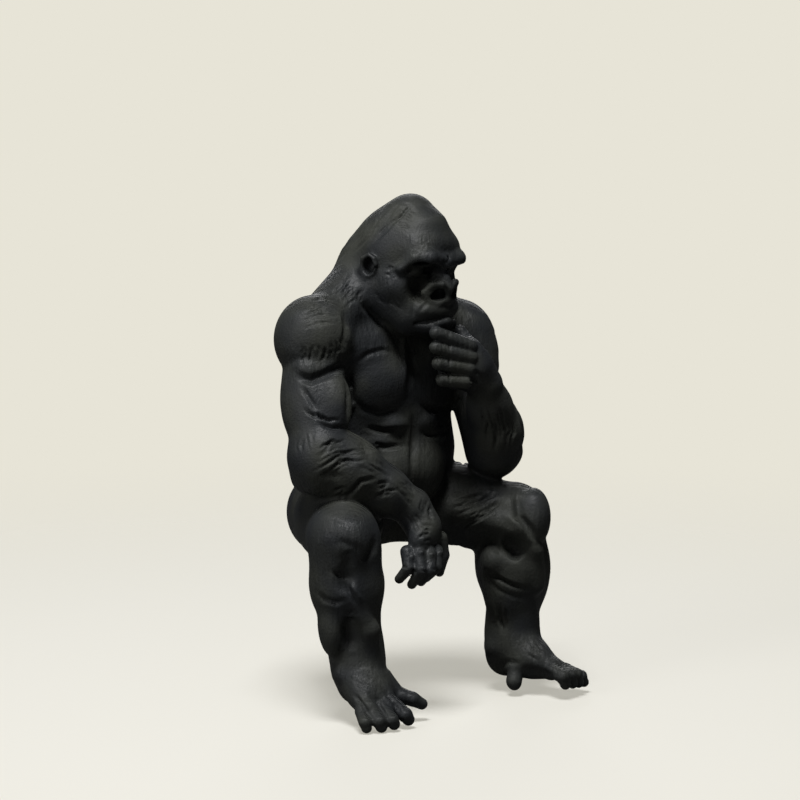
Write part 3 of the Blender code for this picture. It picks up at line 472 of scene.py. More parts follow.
def right_foot():
    """Heel, the foot's three bones and the ankle's bumps. The right foot points down."""
    clay, ankle = legs[RIGHT], ANKLE[RIGHT]
    clay.limb(ankle + at(2, 3, -5.5), 5.8, ankle + at(1.5, 1.0, -7.5), 5.6, 3)
    clay.limb(ankle + at(0, -2, -2.5), 6.4, ankle + at(-2, -7, -7.5), 5.4, 3)
    clay.limb(ankle + at(-3.5, -7, -7), 4.8, ankle + at(-5.5, -12, -11), 3.3, 2)
    clay.limb(ankle + at(0.5, -8, -7.5), 4.8, ankle + at(0.5, -13, -11), 3.2, 2)
    clay.limb(ankle + at(4.5, -7, -7), 4.0, ankle + at(7, -10, -9.8), 2.4, 2)
    clay.lump(ankle + at(6.0, -1.5, -4.0), (2.2, 2.6, 2.6), blend=2)
    clay.lump(ankle + at(-6.2, -1.5, -3.5), (2.0, 2.6, 2.6), blend=2)


def left_foot():
    """The same for the left foot, which lies flatter and is seen from its inner side."""
    clay, ankle = legs[LEFT], ANKLE[LEFT]
    clay.lump(ankle + at(-0.5, 2.0, -6.0), (5.2, 5.6, 5.0), blend=3)
    clay.limb(ankle + at(-0.5, -0.5, -1.5), 6.8, ankle + at(1, -6.5, -4.5), 5.6, 3)
    clay.limb(ankle + at(1, -6.5, -5), 5.2, ankle + at(3.2, -13, -7), 3.3, 3)
    clay.limb(ankle + at(3.5, -7.5, -6.5), 4.2, ankle + at(7.5, -13, -8.5), 2.6, 2)
    clay.limb(ankle + at(-1, -3.5, -5), 4.4, ankle + at(-3, -5.5, -6.5), 3.0, 2)
    clay.lump(ankle + at(-6.0, 0.5, -2.0), (2.2, 2.6, 2.6), blend=2)
    clay.lump(ankle + at(6.0, 0.5, -2.5), (2.0, 2.6, 2.6), blend=2)


right_foot()
left_foot()
for side, toes in TOES.items():
    for places, radii in toes:
        finger(legs[side], ANKLE[side], places, radii, TOE_BLEND)
print("feet done, with", sum(len(toes) for toes in TOES.values()), "toes")

# %% [markdown]
# ## The head
# The head is sculpted upright in its own frame and then tilted down and turned to its left.
# The order is that of a modeller: skull, brow and muzzle first, then sockets cut in, and the
# eyelids, nose and lips laid over them.

# %% Skull, brow and muzzle
head = Clay(HEAD, HEAD_TURN)
NEAR_RAISE = 1.0
FACE_SIDES = ((LEFT, 0.0), (RIGHT, NEAR_RAISE))
BROW_RADII = (2.2, 2.1, 1.7, 1.2)
head.lump((0, 0.5, 3.5), (12.6, 12.6, 13.0))
head.limb((0, 0.2, 14.0), 6.5, (0.2, -3.8, 11.6), 7.1, 5)
head.lump((3.5, -5.5, 6.0), (6.0, 7.0, 7.0), blend=3, pair=True)
head.limb((0, -9.0, 8.8), 2.4, (6.0, -9.8, 8.2), 2.3, 4, pair=True)
head.limb((0, 5.0, 5.0), 8.6, (0, 9.5, -6.0), 10.0, 5)
head.limb((8.2, 0.5, -5.5), 5.4, (5.4, -9.5, -10.4), 4.8, 4, pair=True)
head.lump((9.0, -6.4, -2.4), (3.9, 5.0, 4.8), blend=3, pair=True)
head.lump((0, -9.0, -7.5), (9.4, 7.8, 7.5), blend=4)
for side, raised in FACE_SIDES:
    head.chain([(0, -13.3, 5.6), (side * 6.2, -13.1, 6.2 + raised),
                (side * 9.2, -10.6, 5.4 + raised), (side * 11.2, -8.2, 2.0 + raised)], BROW_RADII, 1.4)
print("skull done; the brow on the near side is raised by", NEAR_RAISE, "mm")

# %% [markdown]
# An eye takes five forms. The socket and the bag under it are carved first, then the ball is
# set in, and two thin lids are laid over it. Carving comes first, or it would cut the ball.

# %% Eyes
SOCKET, BAG, EYEBALL, LID_RADIUS = (5.2, 4.6, 2.9), (4.4, 4.4, 3.2), (2.7, 2.1, 1.7), 0.6
for side, raised in FACE_SIDES:
    lean = (0, -side * 6, -side * 22)
    head.lump((side * 7.2, -13.4, 2.4 + raised), SOCKET, lean, 0.6, carve=True)
    head.lump((side * 7.4, -14.9, -1.4), BAG, lean, 2.6, carve=True)
    head.lump((side * 6.5, -9.5, 2.2 + raised), EYEBALL, (0, side * 8, -side * 12), 0.3)
    head.chain([(side * 3.8, -11.6, 0.7 + raised), (side * 8.8, -9.8, 1.0 + raised)],
               (LID_RADIUS, LID_RADIUS), 0.5)
    head.chain([(side * 4.0, -12.2, 3.9 + raised), (side * 9.0, -10.0, 3.3 + raised)],
               (LID_RADIUS, LID_RADIUS), 0.5)
print("eyes done")

# %% [markdown]
# A rim is a chain of thin limbs: round a nostril and round an ear. The mouth is such a chain
# too, but a carved one. What lies inside a rim is carved after it, so that its edge stays.

# %% Nose, mouth and ears
NOSTRIL_RIM, RIM_RADIUS = [(0.7, -16.9, -0.6), (2.6, -16.3, 0.5), (4.9, -15.0, 0.1), (6.2, -13.9, -2.2),
                           (5.4, -14.9, -4.5), (2.9, -16.6, -4.8), (0.7, -17.2, -3.8)], 0.95
MOUTH, MOUTH_RADIUS = [(0, -18.6, -8.0), (3.0, -17.9, -8.6), (5.6, -16.4, -9.8), (7.9, -13.9, -10.6)], 0.4
EAR_RIM, EAR_RADIUS = [(13.4, -1.2, 2.2), (13.5, -0.4, 3.6), (13.6, 1.2, 4.1), (13.6, 3.0, 2.6),
                       (13.2, 2.8, -0.4), (12.9, 1.2, -2.4)], 0.75
head.limb((0, -12.6, 4.6), 1.7, (0, -14.2, 0.4), 2.2, 1.2)
head.lump((0, -13.6, -7.0), (8.4, 4.7, 3.8), blend=1.4)
head.lump((0, -13.6, -11.4), (7.6, 4.9, 3.2), blend=0.7)
head.lump((3.2, -14.2, -2.6), (3.0, 2.2, 2.6), (0, 10, -14), 0.8, pair=True)
head.chain(NOSTRIL_RIM, [RIM_RADIUS] * len(NOSTRIL_RIM), 0.5, pair=True)
head.lump((3.3, -16.2, -2.3), (2.2, 3.4, 1.35), (0, 24, -10), 0.3, carve=True, pair=True)
head.limb((0, -15.2, 1.4), 1.5, (0, -16.9, -1.0), 1.2, 0.8)
head.limb((0, -17.0, -1.0), 0.8, (0, -17.4, -4.4), 0.9, 0.4)
head.limb((0, -17.9, -9.5), 1.6, (4.6, -16.4, -10.8), 1.5, 0.6, pair=True)
head.chain(MOUTH, [MOUTH_RADIUS] * len(MOUTH), 0.4, carve=True, pair=True)
head.lump((12.4, 0.9, 0.8), (1.8, 2.6, 3.6), (0, 0, -14), 0.5, pair=True)
head.chain(EAR_RIM, [EAR_RADIUS] * len(EAR_RIM), 0.3, pair=True)
head.lump((13.7, 0.7, 1.2), (2.8, 1.7, 2.5), (0, 0, -14), 0.2, carve=True, pair=True)
head.limb((0, -14.6, 7.4), 0.4, (0, -14.8, 4.2), 0.5, 0.6, carve=True)
print("nose, mouth and ears done")

# %% [markdown]
# ## From clay to mesh
# The regions are melted together, each over its own width, because a fist needs a tighter
# melt than a thigh. A thin gap keeps the far upper arm clear of the chest.

# %% Join the regions
ARMPIT_GAP, GAP_SIZE, GAP_TURN = ELBOW[LEFT] + at(-3.6, 12, 3), (0.9, 14, 8.5), (-8, -11.6, -38.7)
figure = torso
for region, width in ((arms, 2), (legs[RIGHT], 1.8), (legs[LEFT], 1.8), (head, 3), (hanging_hand, 1),
                      (fist, 0.8)):
    figure.join(region, width)
figure.lump(ARMPIT_GAP, GAP_SIZE, GAP_TURN, 0.6, carve=True)
print("inside points:", int((figure.field < 0).sum()))

# %% [markdown]
# The figure sits on the edge of a shelf, so its seat is flat and the backs of its calves lie
# against the shelf's front. The shelf's corner is taken away from the clay as one form.

# %% The shelf corner
SHELF_FRONT, SHELF_TOP, SHELF_MELT = -25.0, 2.2, 0.8


def cut_shelf(clay):
    """Takes away everything below the seat and behind the calves. The corner's distance is the
    larger of z and (front - y), so that it is negative in the shelf."""
    up, deep = (AXES[2] - SHELF_TOP)[None, None, :], (SHELF_FRONT - AXES[1])[None, :, None]
    corner = np.maximum(up, deep).astype(np.float32)
    clay.field = -melt(-clay.field, np.broadcast_to(corner, clay.field.shape), SHELF_MELT)


cut_shelf(figure)
print("cut at y =", SHELF_FRONT, "mm, behind the calves, and at z =", SHELF_TOP, "under the seat")

# %% [markdown]
# The surface is read off with surface nets: every grid cell that the surface crosses gets one
# point, at the mean of its edge crossings, and every crossed grid edge gets one four-sided
# face between the cells round it.

# %% Read the surface off the grid
def surface_net(field, axes):
    """Points and four-sided faces of the zero surface, facing outwards."""
    inside = field < 0
    corners = [(a, b, c) for a in (0, 1) for b in (0, 1) for c in (0, 1)]
    size = np.array(field.shape) - 1
    count = np.zeros(size, np.int8)
    for a, b, c in corners:
        count += inside[a:size[0] + a, b:size[1] + b, c:size[2] + c]
    cells = np.nonzero((count > 0) & (count < 8))
    number = np.full(size, -1, np.int64)
    number[cells] = np.arange(len(cells[0]))
    total, hits = np.zeros((len(cells[0]), 3)), np.zeros(len(cells[0]))
    for corner in corners:
        for way in range(3):
            if corner[way]:
                continue
            first = [cell + step for cell, step in zip(cells, corner)]
            last = [index + (way == d) for d, index in enumerate(first)]
            here, there = field[tuple(first)].astype(float), field[tuple(last)].astype(float)
            crossed = (here < 0) != (there < 0)
            share = (here[crossed] / (here[crossed] - there[crossed]))[:, None]
            a = np.stack([axis[i[crossed]] for axis, i in zip(axes, first)], -1)
            b = np.stack([axis[i[crossed]] for axis, i in zip(axes, last)], -1)
            total[crossed] += a + (b - a) * share
            hits[crossed] += 1
    faces = []
    for way in range(3):
        u, v = (way + 1) % 3, (way + 2) % 3
        low, high = [slice(None)] * 3, [slice(None)] * 3
        low[way], high[way] = slice(0, -1), slice(1, None)
        edge = list(np.nonzero(inside[tuple(low)] != inside[tuple(high)]))
        out = ~inside[tuple(edge)]
        ring = []
        for back_u, back_v in ((1, 1), (0, 1), (0, 0), (1, 0)):
            spot = [index.copy() for index in edge]
            spot[u] -= back_u
            spot[v] -= back_v
            ring.append(number[tuple(spot)])
        ring = np.stack(ring, -1)
        ring[out] = ring[out][:, ::-1]
        faces.append(ring)
    return total / hits[:, None], np.concatenate(faces)


points, faces = surface_net(figure.field, AXES)
points[:, 2] -= SHELF_TOP
print(len(points), "points,", 2 * len(faces), "triangles")

# %% [markdown]
# ## Creases, drawn as on paper
# The large forms are right now, but skin creases where muscles meet. Those lines are drawn the
# way a sculptor scores clay: each is a short chain of places in the main view's picture, and
# the surface under it is pushed in or pulled out along its own normal.

# %% The main view
AZIMUTH, ELEVATION = math.radians(-38.7), math.radians(8.0)
DISTANCE, ASIDE, RAISED = 929.7, 12.55, 39.08
SENSOR, FOCAL_PIXELS, FRAME_PIXELS = 36.0, 3336.0, 800.0
TO_EYE = np.array((math.sin(AZIMUTH) * math.cos(ELEVATION),
                   -math.cos(AZIMUTH) * math.cos(ELEVATION), math.sin(ELEVATION)))
VIEW_RIGHT = np.array((math.cos(AZIMUTH), math.sin(AZIMUTH), 0.0))
VIEW_UP = np.cross(TO_EYE, VIEW_RIGHT)
EYE = TO_EYE * DISTANCE + VIEW_RIGHT * ASIDE + VIEW_UP * RAISED


def main_view(points):
    """Picture places (right, down) in pixels, and distances from the eye: the place across
    the view is scaled by focal length over distance, and counted from the picture's middle."""
    offset = points - EYE
    far = -offset @ TO_EYE
    across, up = offset @ VIEW_RIGHT / far, offset @ VIEW_UP / far
    half = FRAME_PIXELS / 2
    return np.stack([half + across * FOCAL_PIXELS, half - up * FOCAL_PIXELS], -1), far


FLAT_DISTANCE = 500.0


def flat_view(toward):
    """A view without perspective from a level direction: millimetres to the viewer's right
    and down from the seat."""
    right = np.cross((0, 0, 1), toward)

    def view(points):
        return np.stack([points @ right, -points[:, 2]], -1), FLAT_DISTANCE - points @ toward
    return view


print("the eye is at", [round(float(v), 1) for v in EYE], "mm")

# %% [markdown]
# A line may only score what its viewer sees, or a wrinkle of the hand would mark the belly
# behind it too. So each point is asked whether it faces the eye and whether it lies in front.

# %% Normals and what is seen
def vertex_normals(points, faces):
    """The mean normal of the faces round each point: a face's normal is the cross product of
    its diagonals."""
    cross = np.cross(points[faces[:, 2]] - points[faces[:, 0]],
                     points[faces[:, 3]] - points[faces[:, 1]])
    total = np.stack([np.bincount(faces.ravel(), np.repeat(cross[:, k], 4), len(points))
                      for k in range(3)], -1)
    return total / np.maximum(np.linalg.norm(total, axis=1), 1e-9)[:, None]


GRAZING, FULLY_FACING = 0.08, 0.33


def seen_share(places, far, facing, cell, allowed):
    """How far each point counts as seen: 0 where it faces away or lies more than the allowed
    depth behind the nearest point in its cell of the picture, and up to 1 elsewhere."""
    spots = np.floor((places - places.min(0)) / cell).astype(int)
    keys = spots[:, 0] * (spots[:, 1].max() + 1) + spots[:, 1]
    nearest = np.full(keys.max() + 1, np.inf)
    np.minimum.at(nearest, keys, far)
    share = np.clip((facing - GRAZING) / (FULLY_FACING - GRAZING), 0, 1)
    return np.where(far < nearest[keys] + allowed, share, 0.0)


normals = vertex_normals(points, faces)
print("normals point outwards:", bool((normals * (points - points.mean(0))).sum() > 0))

# %% [markdown]
# The scoring tool doesn't cut at once. It adds up how far each point will move, so that lines
# that cross share the surface, and all of them are pressed in together at the end.

# %% The scoring tool
LINE_STOPS, END_FADE, END_LEAST = 7, 0.3, 0.15


class Scoring:
    """Collects how far each point moves along its normal, for lines drawn in one view."""

    def __init__(self, points, normals, view, toward, cell, allowed):
        self.places, far = view(points)
        self.share = seen_share(self.places, far, normals @ toward, cell, allowed)
        self.move = np.zeros(len(points))

    def line(self, chain, height, width, raised=0.0):
        """Moves the surface by height along a chain of places. The profile across is
        exp(-(d / width)^2), with raised sides if raised is set, and it fades at both ends."""
        chain = np.array(chain, float)
        reach = width * 3
        near = np.all((self.places > chain.min(0) - reach) & (self.places < chain.max(0) + reach),
                      axis=1) & (self.share > 0)
        places = self.places[near]
        if not len(places):
            return
        steps = np.linalg.norm(np.diff(chain, axis=0), axis=1)
        best, run, done = np.full(len(places), np.inf), np.zeros(len(places)), 0.0
        for start, end, length in zip(chain, chain[1:], steps):
            way = (end - start) / length
            share = np.clip((places - start) @ way, 0, length)
            away = np.linalg.norm(places - start - share[:, None] * way, axis=1)
            closer = away < best
            best, run = np.where(closer, away, best), np.where(closer, done + share, run)
            done += length
        square = np.square(best / width)
        fade = np.clip(np.minimum(run, done - run) / (END_FADE * done), END_LEAST, 1)
        profile = np.exp(-square) - raised * square * np.exp(-0.7 * square)
        self.move[near] += height * fade * profile * self.share[near]

    def between(self, first, last, count, height, width, seed=1, waver=0.9):
        """A family of lines that pass from a first chain to a last one. Each takes only a part of
        its way, wavers a little and has its own depth, so that no two are alike."""
        pick = np.random.default_rng(seed)
        first, last = np.array(first, float), np.array(last, float)
        for number in range(count):
            share = (number + 0.5 + pick.uniform(-0.3, 0.3)) / count
            chain = first + (last - first) * share
            begin, end = pick.uniform(0.0, 0.35), pick.uniform(0.65, 1.0)
            stops = np.linspace(begin, end, LINE_STOPS) * (len(chain) - 1)
            low = np.minimum(stops.astype(int), len(chain) - 2)
            part = (stops - low)[:, None]
            bent = chain[low] * (1 - part) + chain[low + 1] * part
            bent += pick.uniform(-waver, waver, (LINE_STOPS, 2))
            self.line(bent, height * pick.uniform(0.5, 1.3), width * pick.uniform(0.75, 1.2), 0.5)


front = Scoring(points, normals, main_view, TO_EYE, cell=3.0, allowed=4.0)
print(int((front.share > 0).sum()), "points are seen in the main view")

# %% [markdown]
# The lines go from the large to the small: first the edges of the big muscles, then folds at
# the joints, and last the fine wrinkles, which come in families between two drawn chains.
# A fold is a chain of places, right and down in pixels, then how far the surface moves in
# millimetres, the line's width in pixels, and how much its sides rise. A family is its first
# and its last chain, the count of its lines, how far and how wide, and a seed for its chances.

# %% Shoulder, arm and chest
def score(view, folds, families):
    """Draws the single folds, then the families of wrinkles, and says how deep they go."""
    for fold in folds.values():
        view.line(*fold)
    for family in families.values():
        view.between(*family)
    print(len(folds), "folds and", len(families), "families of wrinkles, down to",
          round(float(view.move.min()), 2), "mm")


TRUNK_FOLDS = dict(
    shoulder_edge=([(295, 371), (303, 378), (311, 380), (325, 374), (340, 367), (349, 354)],
                   -1.3, 4.5, 0.35),
    shoulder_front=([(343, 308), (347, 325), (345, 340), (349, 354)], -0.9, 3.5, 0.3),
    biceps_side=([(301, 385), (309, 398), (318, 412)], -0.7, 3.0, 0.4),
    arm_to_chest=([(347, 368), (351, 390), (350, 412), (348, 428)], -1.2, 4.0),
    elbow_crook=([(318, 424), (332, 428), (347, 427)], -0.6, 2.2, 0.5),
    chest_edge=([(352, 396), (362, 409), (380, 414), (396, 409), (407, 398)], -0.6, 4.0, 0.3),
    chest_middle=([(409, 345), (411, 370), (409, 398)], -0.8, 4.0, 0.3),
    chest_top=([(356, 364), (368, 354), (382, 350), (396, 353)], -0.5, 3.0, 0.4),
    far_chest_edge=([(418, 402), (432, 410), (446, 409), (458, 400)], -1.1, 4.0, 0.4),
    chest_round=([(403, 330), (405, 360), (404, 392)], 0.5, 3.0),
    belly_middle=([(413, 408), (414, 430), (413, 458), (414, 486)], -1.0, 3.5, 0.3),
    belly_fold=([(364, 427), (384, 431), (407, 429)], -0.9, 3.0, 0.4),
    far_belly_fold=([(422, 433), (436, 435), (449, 430)], -0.9, 3.0, 0.4),
    low_belly_fold=([(363, 443), (384, 447), (408, 445)], -0.7, 3.0, 0.3),
    belly_side=([(360, 430), (368, 452), (382, 474)], -0.6, 4.0),
)
TRUNK_WRINKLES = dict(
    shoulder_low=([(300, 342), (303, 356), (300, 368)], [(342, 338), (345, 348), (340, 358)],
                  13, -0.35, 1.6, 2),
    shoulder_high=([(306, 302), (322, 297), (340, 300)], [(290, 336), (312, 326), (340, 326)],
                   18, -0.32, 1.4, 3),
    above_elbow=([(300, 404), (306, 412), (314, 420)], [(320, 412), (330, 421), (345, 420)],
                 10, -0.35, 1.5, 4),
)
score(front, TRUNK_FOLDS, TRUNK_WRINKLES)

# %% [markdown]
# The near forearm shows the most wrinkles, because it lies across the thigh and its skin is
# pushed together. The knuckles are raised a little, and the tips are set off.

# %% Forearms and hands
ARM_FOLDS = dict(
    forearm_edge=([(346, 500), (353, 490), (361, 481), (376, 478)], -0.9, 2.6, 0.5),
    under_elbow=([(320, 478), (330, 474), (342, 478)], -0.7, 4.0),
)
ARM_WRINKLES = dict(
    forearm=([(352, 436), (330, 440), (310, 452)], [(376, 464), (348, 464), (318, 482)],
             15, -0.5, 1.6, 5),
    elbow_outside=([(300, 432), (296, 446), (298, 460)], [(316, 424), (314, 440), (316, 456)],
                   7, -0.25, 1.6, 29),
    forearm_low=([(372, 456), (384, 466), (396, 480)], [(354, 466), (372, 472), (392, 484)],
                 8, -0.3, 1.6, 30),
    wrist=([(396, 470), (410, 482), (420, 498)], [(384, 484), (400, 494), (412, 510)], 7, -0.3, 1.7, 31),
    forearm_top=([(352, 436), (364, 444), (372, 452)], [(356, 456), (366, 460), (380, 464)],
                 5, -0.3, 1.6, 6),
    thigh_outside=([(326, 494), (336, 488), (346, 488)], [(340, 504), (350, 497), (356, 487)],
                   4, -0.6, 1.9, 7),
    thigh_inside=([(370, 488), (380, 482), (396, 480)], [(376, 503), (388, 495), (402, 494)],
                  4, -0.6, 2.0, 8),
    hand_outside=([(420, 494), (419, 506), (421, 520)], [(434, 502), (432, 512), (434, 524)],
                  6, -0.4, 1.5, 9),
    hand_inside=([(404, 512), (410, 526), (416, 536)], [(416, 506), (420, 518), (424, 528)],
                 5, -0.3, 1.5, 10),
    finger_roots=([(416, 526), (426, 524), (436, 527)], [(418, 548), (428, 545), (438, 548)],
                  6, -0.4, 1.6, 11),
    left_wrist=([(464, 374), (472, 382), (486, 388)], [(474, 366), (482, 372), (492, 376)],
                3, -0.5, 1.8, 12),
    left_forearm=([(472, 398), (482, 424), (486, 452)], [(508, 402), (515, 432), (505, 462)],
                  11, -0.5, 1.9, 13),
)
score(front, ARM_FOLDS, ARM_WRINKLES)
KNUCKLES_AND_TIPS = [((413, 556), (405, 568)), ((421, 552), (414, 572)), ((431, 554), (424, 572)),
                     ((440, 552), (434, 570))]
for (across, down), (tip_across, tip_down) in KNUCKLES_AND_TIPS:
    front.line([(across - 3, down), (across + 3, down + 1)], 0.6, 3.0)
    front.line([(tip_across - 3, tip_down - 2), (tip_across + 3, tip_down)], -0.35, 1.5, 0.5)
FIST_ROWS, FIST_JOINT, FIST_BEND = (333, 348, 363, 379), 449, 438
for down in FIST_ROWS:
    front.line([(FIST_JOINT, down - 5), (FIST_JOINT + 1, down + 4)], -0.35, 1.6, 0.6)
    front.line([(FIST_BEND, down - 4), (FIST_BEND, down + 3)], -0.25, 1.4, 0.6)
print(len(KNUCKLES_AND_TIPS), "hanging fingers and", len(FIST_ROWS), "bent ones scored")

# %% [markdown]
# On the legs the lines are few and wide. They shape the kneecap, the shin and the ankle, and
# only the thigh under the left arm has a full family of wrinkles.

# %% Legs and feet
LEG_FOLDS = dict(
    knee_top=([(333, 545), (342, 542), (356, 548), (366, 556)], -0.5, 4.0),
    knee_side=([(375, 538), (372, 550), (362, 564)], -0.9, 3.5, 0.4),
    knee_hollow=([(346, 550), (349, 560), (349, 569)], -1.1, 6.5),
    under_knee=([(331, 570), (340, 576), (352, 578)], -0.6, 3.0, 0.4),
    shin_ridge=([(350, 580), (356, 592), (363, 604)], 0.9, 2.8),
    shin_outside=([(346, 584), (351, 596), (357, 607)], -0.7, 2.2),
    shin_hollow=([(350, 614), (349, 634), (352, 654)], -1.5, 7.5),
    shin_edge=([(357, 606), (365, 628), (368, 652)], 0.35, 3.5),
    calf_top=([(317, 592), (325, 600), (336, 603), (346, 600)], -0.8, 3.0, 0.4),
    left_thigh_side=([(516, 484), (517, 500), (519, 516), (530, 530), (540, 541)], -1.2, 4.5, 0.3),
    left_knee_ridge=([(498, 511), (518, 524), (533, 543), (540, 562)], 0.8, 4.0),
    left_knee_hollow=([(501, 534), (509, 545), (523, 560)], -1.4, 7.0),
    left_under_knee=([(486, 570), (498, 578), (512, 585), (532, 590)], -0.7, 2.6, 0.5),
    left_calf_top=([(486, 578), (498, 590), (514, 597), (530, 598)], -0.25, 2.4, 0.4),
    left_knee_inside=([(478, 545), (488, 540), (498, 548), (502, 560)], -0.7, 4.0),
    left_ankle=([(520, 668), (536, 672), (556, 676)], -0.8, 4.0),
    left_heel=([(494, 668), (508, 662), (522, 664)], -0.6, 3.0),
)
LEG_WRINKLES = dict(
    shin=([(343, 608), (350, 610), (358, 608)], [(342, 622), (350, 625), (360, 622)], 4, -0.35, 1.6, 14),
    above_knee=([(326, 512), (340, 508), (352, 514)], [(322, 540), (330, 536), (340, 540)],
                4, -0.1, 2.0, 15),
    left_thigh=([(446, 503), (470, 496), (498, 486)], [(456, 532), (482, 520), (508, 502)],
                20, -0.5, 1.5, 16),
    left_shin=([(494, 604), (497, 622), (503, 640)], [(504, 600), (508, 620), (506, 636)],
               3, -0.6, 2.2, 17),
    left_instep=([(532, 636), (541, 646), (548, 652)], [(520, 648), (530, 656), (540, 664)],
                 4, -0.35, 1.8, 18),
    instep=([(356, 672), (366, 680), (378, 682)], [(350, 684), (362, 690), (380, 690)], 3, -0.3, 1.8, 19),
)
score(front, LEG_FOLDS, LEG_WRINKLES)
BETWEEN_TOES = [[(352, 692), (364, 706), (372, 722)], [(366, 690), (379, 704), (388, 720)],
                [(380, 686), (392, 700), (401, 714)]]
for chain in BETWEEN_TOES:
    front.line(chain, -0.6, 2.2, 0.4)
print(len(BETWEEN_TOES), "lines run on from between the toes")

# %% [markdown]
# The face gets short and shallow lines, so that its calm stays. Longer ones run back over the
# crest, as the hair does.

# %% The face
FACE_FOLDS = dict(
    muzzle_side=([(429, 300), (424, 306), (419, 312)], -0.35, 2.4, 0.4),
    muzzle_fold=([(415, 300), (413, 310), (413, 319)], -0.25, 2.2, 0.3),
    jaw=([(358, 294), (366, 308), (380, 322), (396, 332)], -1.0, 4.0, 0.3),
)
FACE_WRINKLES = dict(
    under_eye=([(404, 282), (414, 286), (428, 284)], [(408, 296), (414, 300), (422, 297)],
               4, -0.3, 1.7, 20),
    between_brows=([(441, 256), (442, 263), (443, 271)], [(450, 256), (449, 263), (447, 271)],
                   3, -0.5, 1.5, 21),
    nose_bridge=([(426, 281), (433, 275), (441, 272)], [(430, 285), (437, 280), (446, 277)],
                 3, -0.3, 1.4, 22),
    eye_corner=([(384, 264), (392, 267), (400, 270)], [(380, 288), (388, 283), (398, 277)],
                7, -0.35, 1.5, 23),
    forehead=([(408, 248), (424, 244), (444, 248)], [(404, 240), (422, 236), (446, 240)],
              3, -0.18, 2.0, 24),
    cheek=([(372, 290), (380, 302), (394, 314)], [(396, 292), (402, 304), (410, 314)], 5, -0.2, 2.2, 25),
    crest=([(376, 206), (356, 232), (338, 262)], [(420, 198), (396, 222), (368, 250)],
           22, -0.32, 1.4, 26),
    crown=([(400, 200), (410, 204), (418, 212)], [(392, 226), (402, 228), (412, 232)], 9, -0.26, 1.4, 27),
    neck=([(348, 268), (338, 284), (326, 298)], [(366, 284), (362, 300), (352, 312)], 10, -0.35, 1.6, 28),
)
score(front, FACE_FOLDS, FACE_WRINKLES)
print("the lines move", int((np.abs(front.move) > 0.05).sum()), "points")

# %% [markdown]
# The back and the far side aren't in the main view. They get the same treatment from their own
# side: the furrow of the spine, the shoulder blades, the muscles' edges and long fine hair.

# %% The back
def mirrored(chain, way):
    """The chain as it was drawn where way is 1, and its mirror image where way is -1."""
    return [(way * across, down) for across, down in chain]


BEHIND, FROM_LEFT, HAIR_WAVER = np.array((0.0, 1.0, 0.0)), np.array((1.0, 0.0, 0.0)), 0.3
SPINE = [(0.5, -60), (0, -44), (0, -26), (0, -8)]
BACK_FOLDS = dict(
    nape=([(5, -62), (6.5, -54), (9, -48)], -0.9, 1.5, 0.3),
    blade_low=([(12, -43), (16, -42), (21, -46)], -0.9, 1.5, 0.3),
    blade_high=([(12, -60), (17, -54), (22, -52)], -0.6, 1.2, 0.4),
    loin=([(6, -38), (9, -28), (8, -16)], -0.6, 1.4, 0.3),
    hip=([(3, -12), (9, -14), (16, -12)], -0.7, 1.4, 0.3),
)
BACK_HAIR = dict(
    back=([(2, -64), (3, -44), (3, -18)], [(20, -60), (20, -42), (17, -16)], 44, -0.3, 0.5, 40),
    head=([(1, -94), (1, -84), (2, -72)], [(10, -90), (12, -80), (13, -68)], 16, -0.25, 0.5, 50),
    arm=([(24, -66), (25, -54), (27, -40)], [(33, -62), (33, -50), (35, -38)], 12, -0.25, 0.5, 60),
)
rear = Scoring(points, normals, flat_view(BEHIND), BEHIND, cell=0.8, allowed=3.0)
rear.line(SPINE, -1.1, 1.5, 0.4)
for way in (-1, 1):
    for chain, *shape in BACK_FOLDS.values():
        rear.line(mirrored(chain, way), *shape)
    for first, last, *shape, seed in BACK_HAIR.values():
        rear.between(mirrored(first, way), mirrored(last, way), *shape, seed + way, HAIR_WAVER)
print("the back has", 1 + 2 * len(BACK_FOLDS), "folds and", 2 * len(BACK_HAIR), "families of hair lines")

# %% [markdown]
# From the figure's left, the far arm and thigh are scored in the same way.

# %% The left side
SIDE_FOLDS = dict(
    shoulder_edge=([(-27, -50), (-22, -44), (-16, -44), (-9, -50)], -1.0, 1.4, 0.4),
    arm=([(-20, -43), (-22, -36), (-24, -29)], -0.8, 1.3, 0.4),
    forearm=([(-31, -24), (-36, -30), (-37, -38)], -0.6, 1.3, 0.3),
    thigh=([(-6, -4), (-16, -10), (-27, -10)], -0.7, 1.6, 0.3),
    calf=([(-31, 3), (-29, 10), (-31, 18)], -0.9, 1.4, 0.4),
)
SIDE_HAIR = dict(
    forearm=([(-30, -26), (-26, -30), (-22, -34)], [(-38, -40), (-34, -44), (-30, -46)],
             16, -0.4, 0.5, 70, HAIR_WAVER),
    shoulder=([(-24, -64), (-22, -56), (-22, -48)], [(-8, -62), (-10, -54), (-12, -48)],
              18, -0.25, 0.5, 71, HAIR_WAVER),
    thigh=([(-8, 0), (-18, -2), (-28, 0)], [(-8, -14), (-16, -18), (-26, -16)],
           12, -0.25, 0.5, 72, HAIR_WAVER),
)
left = Scoring(points, normals, flat_view(FROM_LEFT), FROM_LEFT, cell=0.8, allowed=3.0)
score(left, SIDE_FOLDS, SIDE_HAIR)
moved = front.move + rear.move + left.move
points += normals * moved[:, None]
print("the surface has moved by up to", round(float(np.abs(moved).max()), 2), "mm")

# %% [markdown]
# ## The mesh
# The grid gives more faces than a flat stretch needs. The Decimate modifier joins them there
# and keeps them where the surface bends. The piece then stands for the CAD figure.

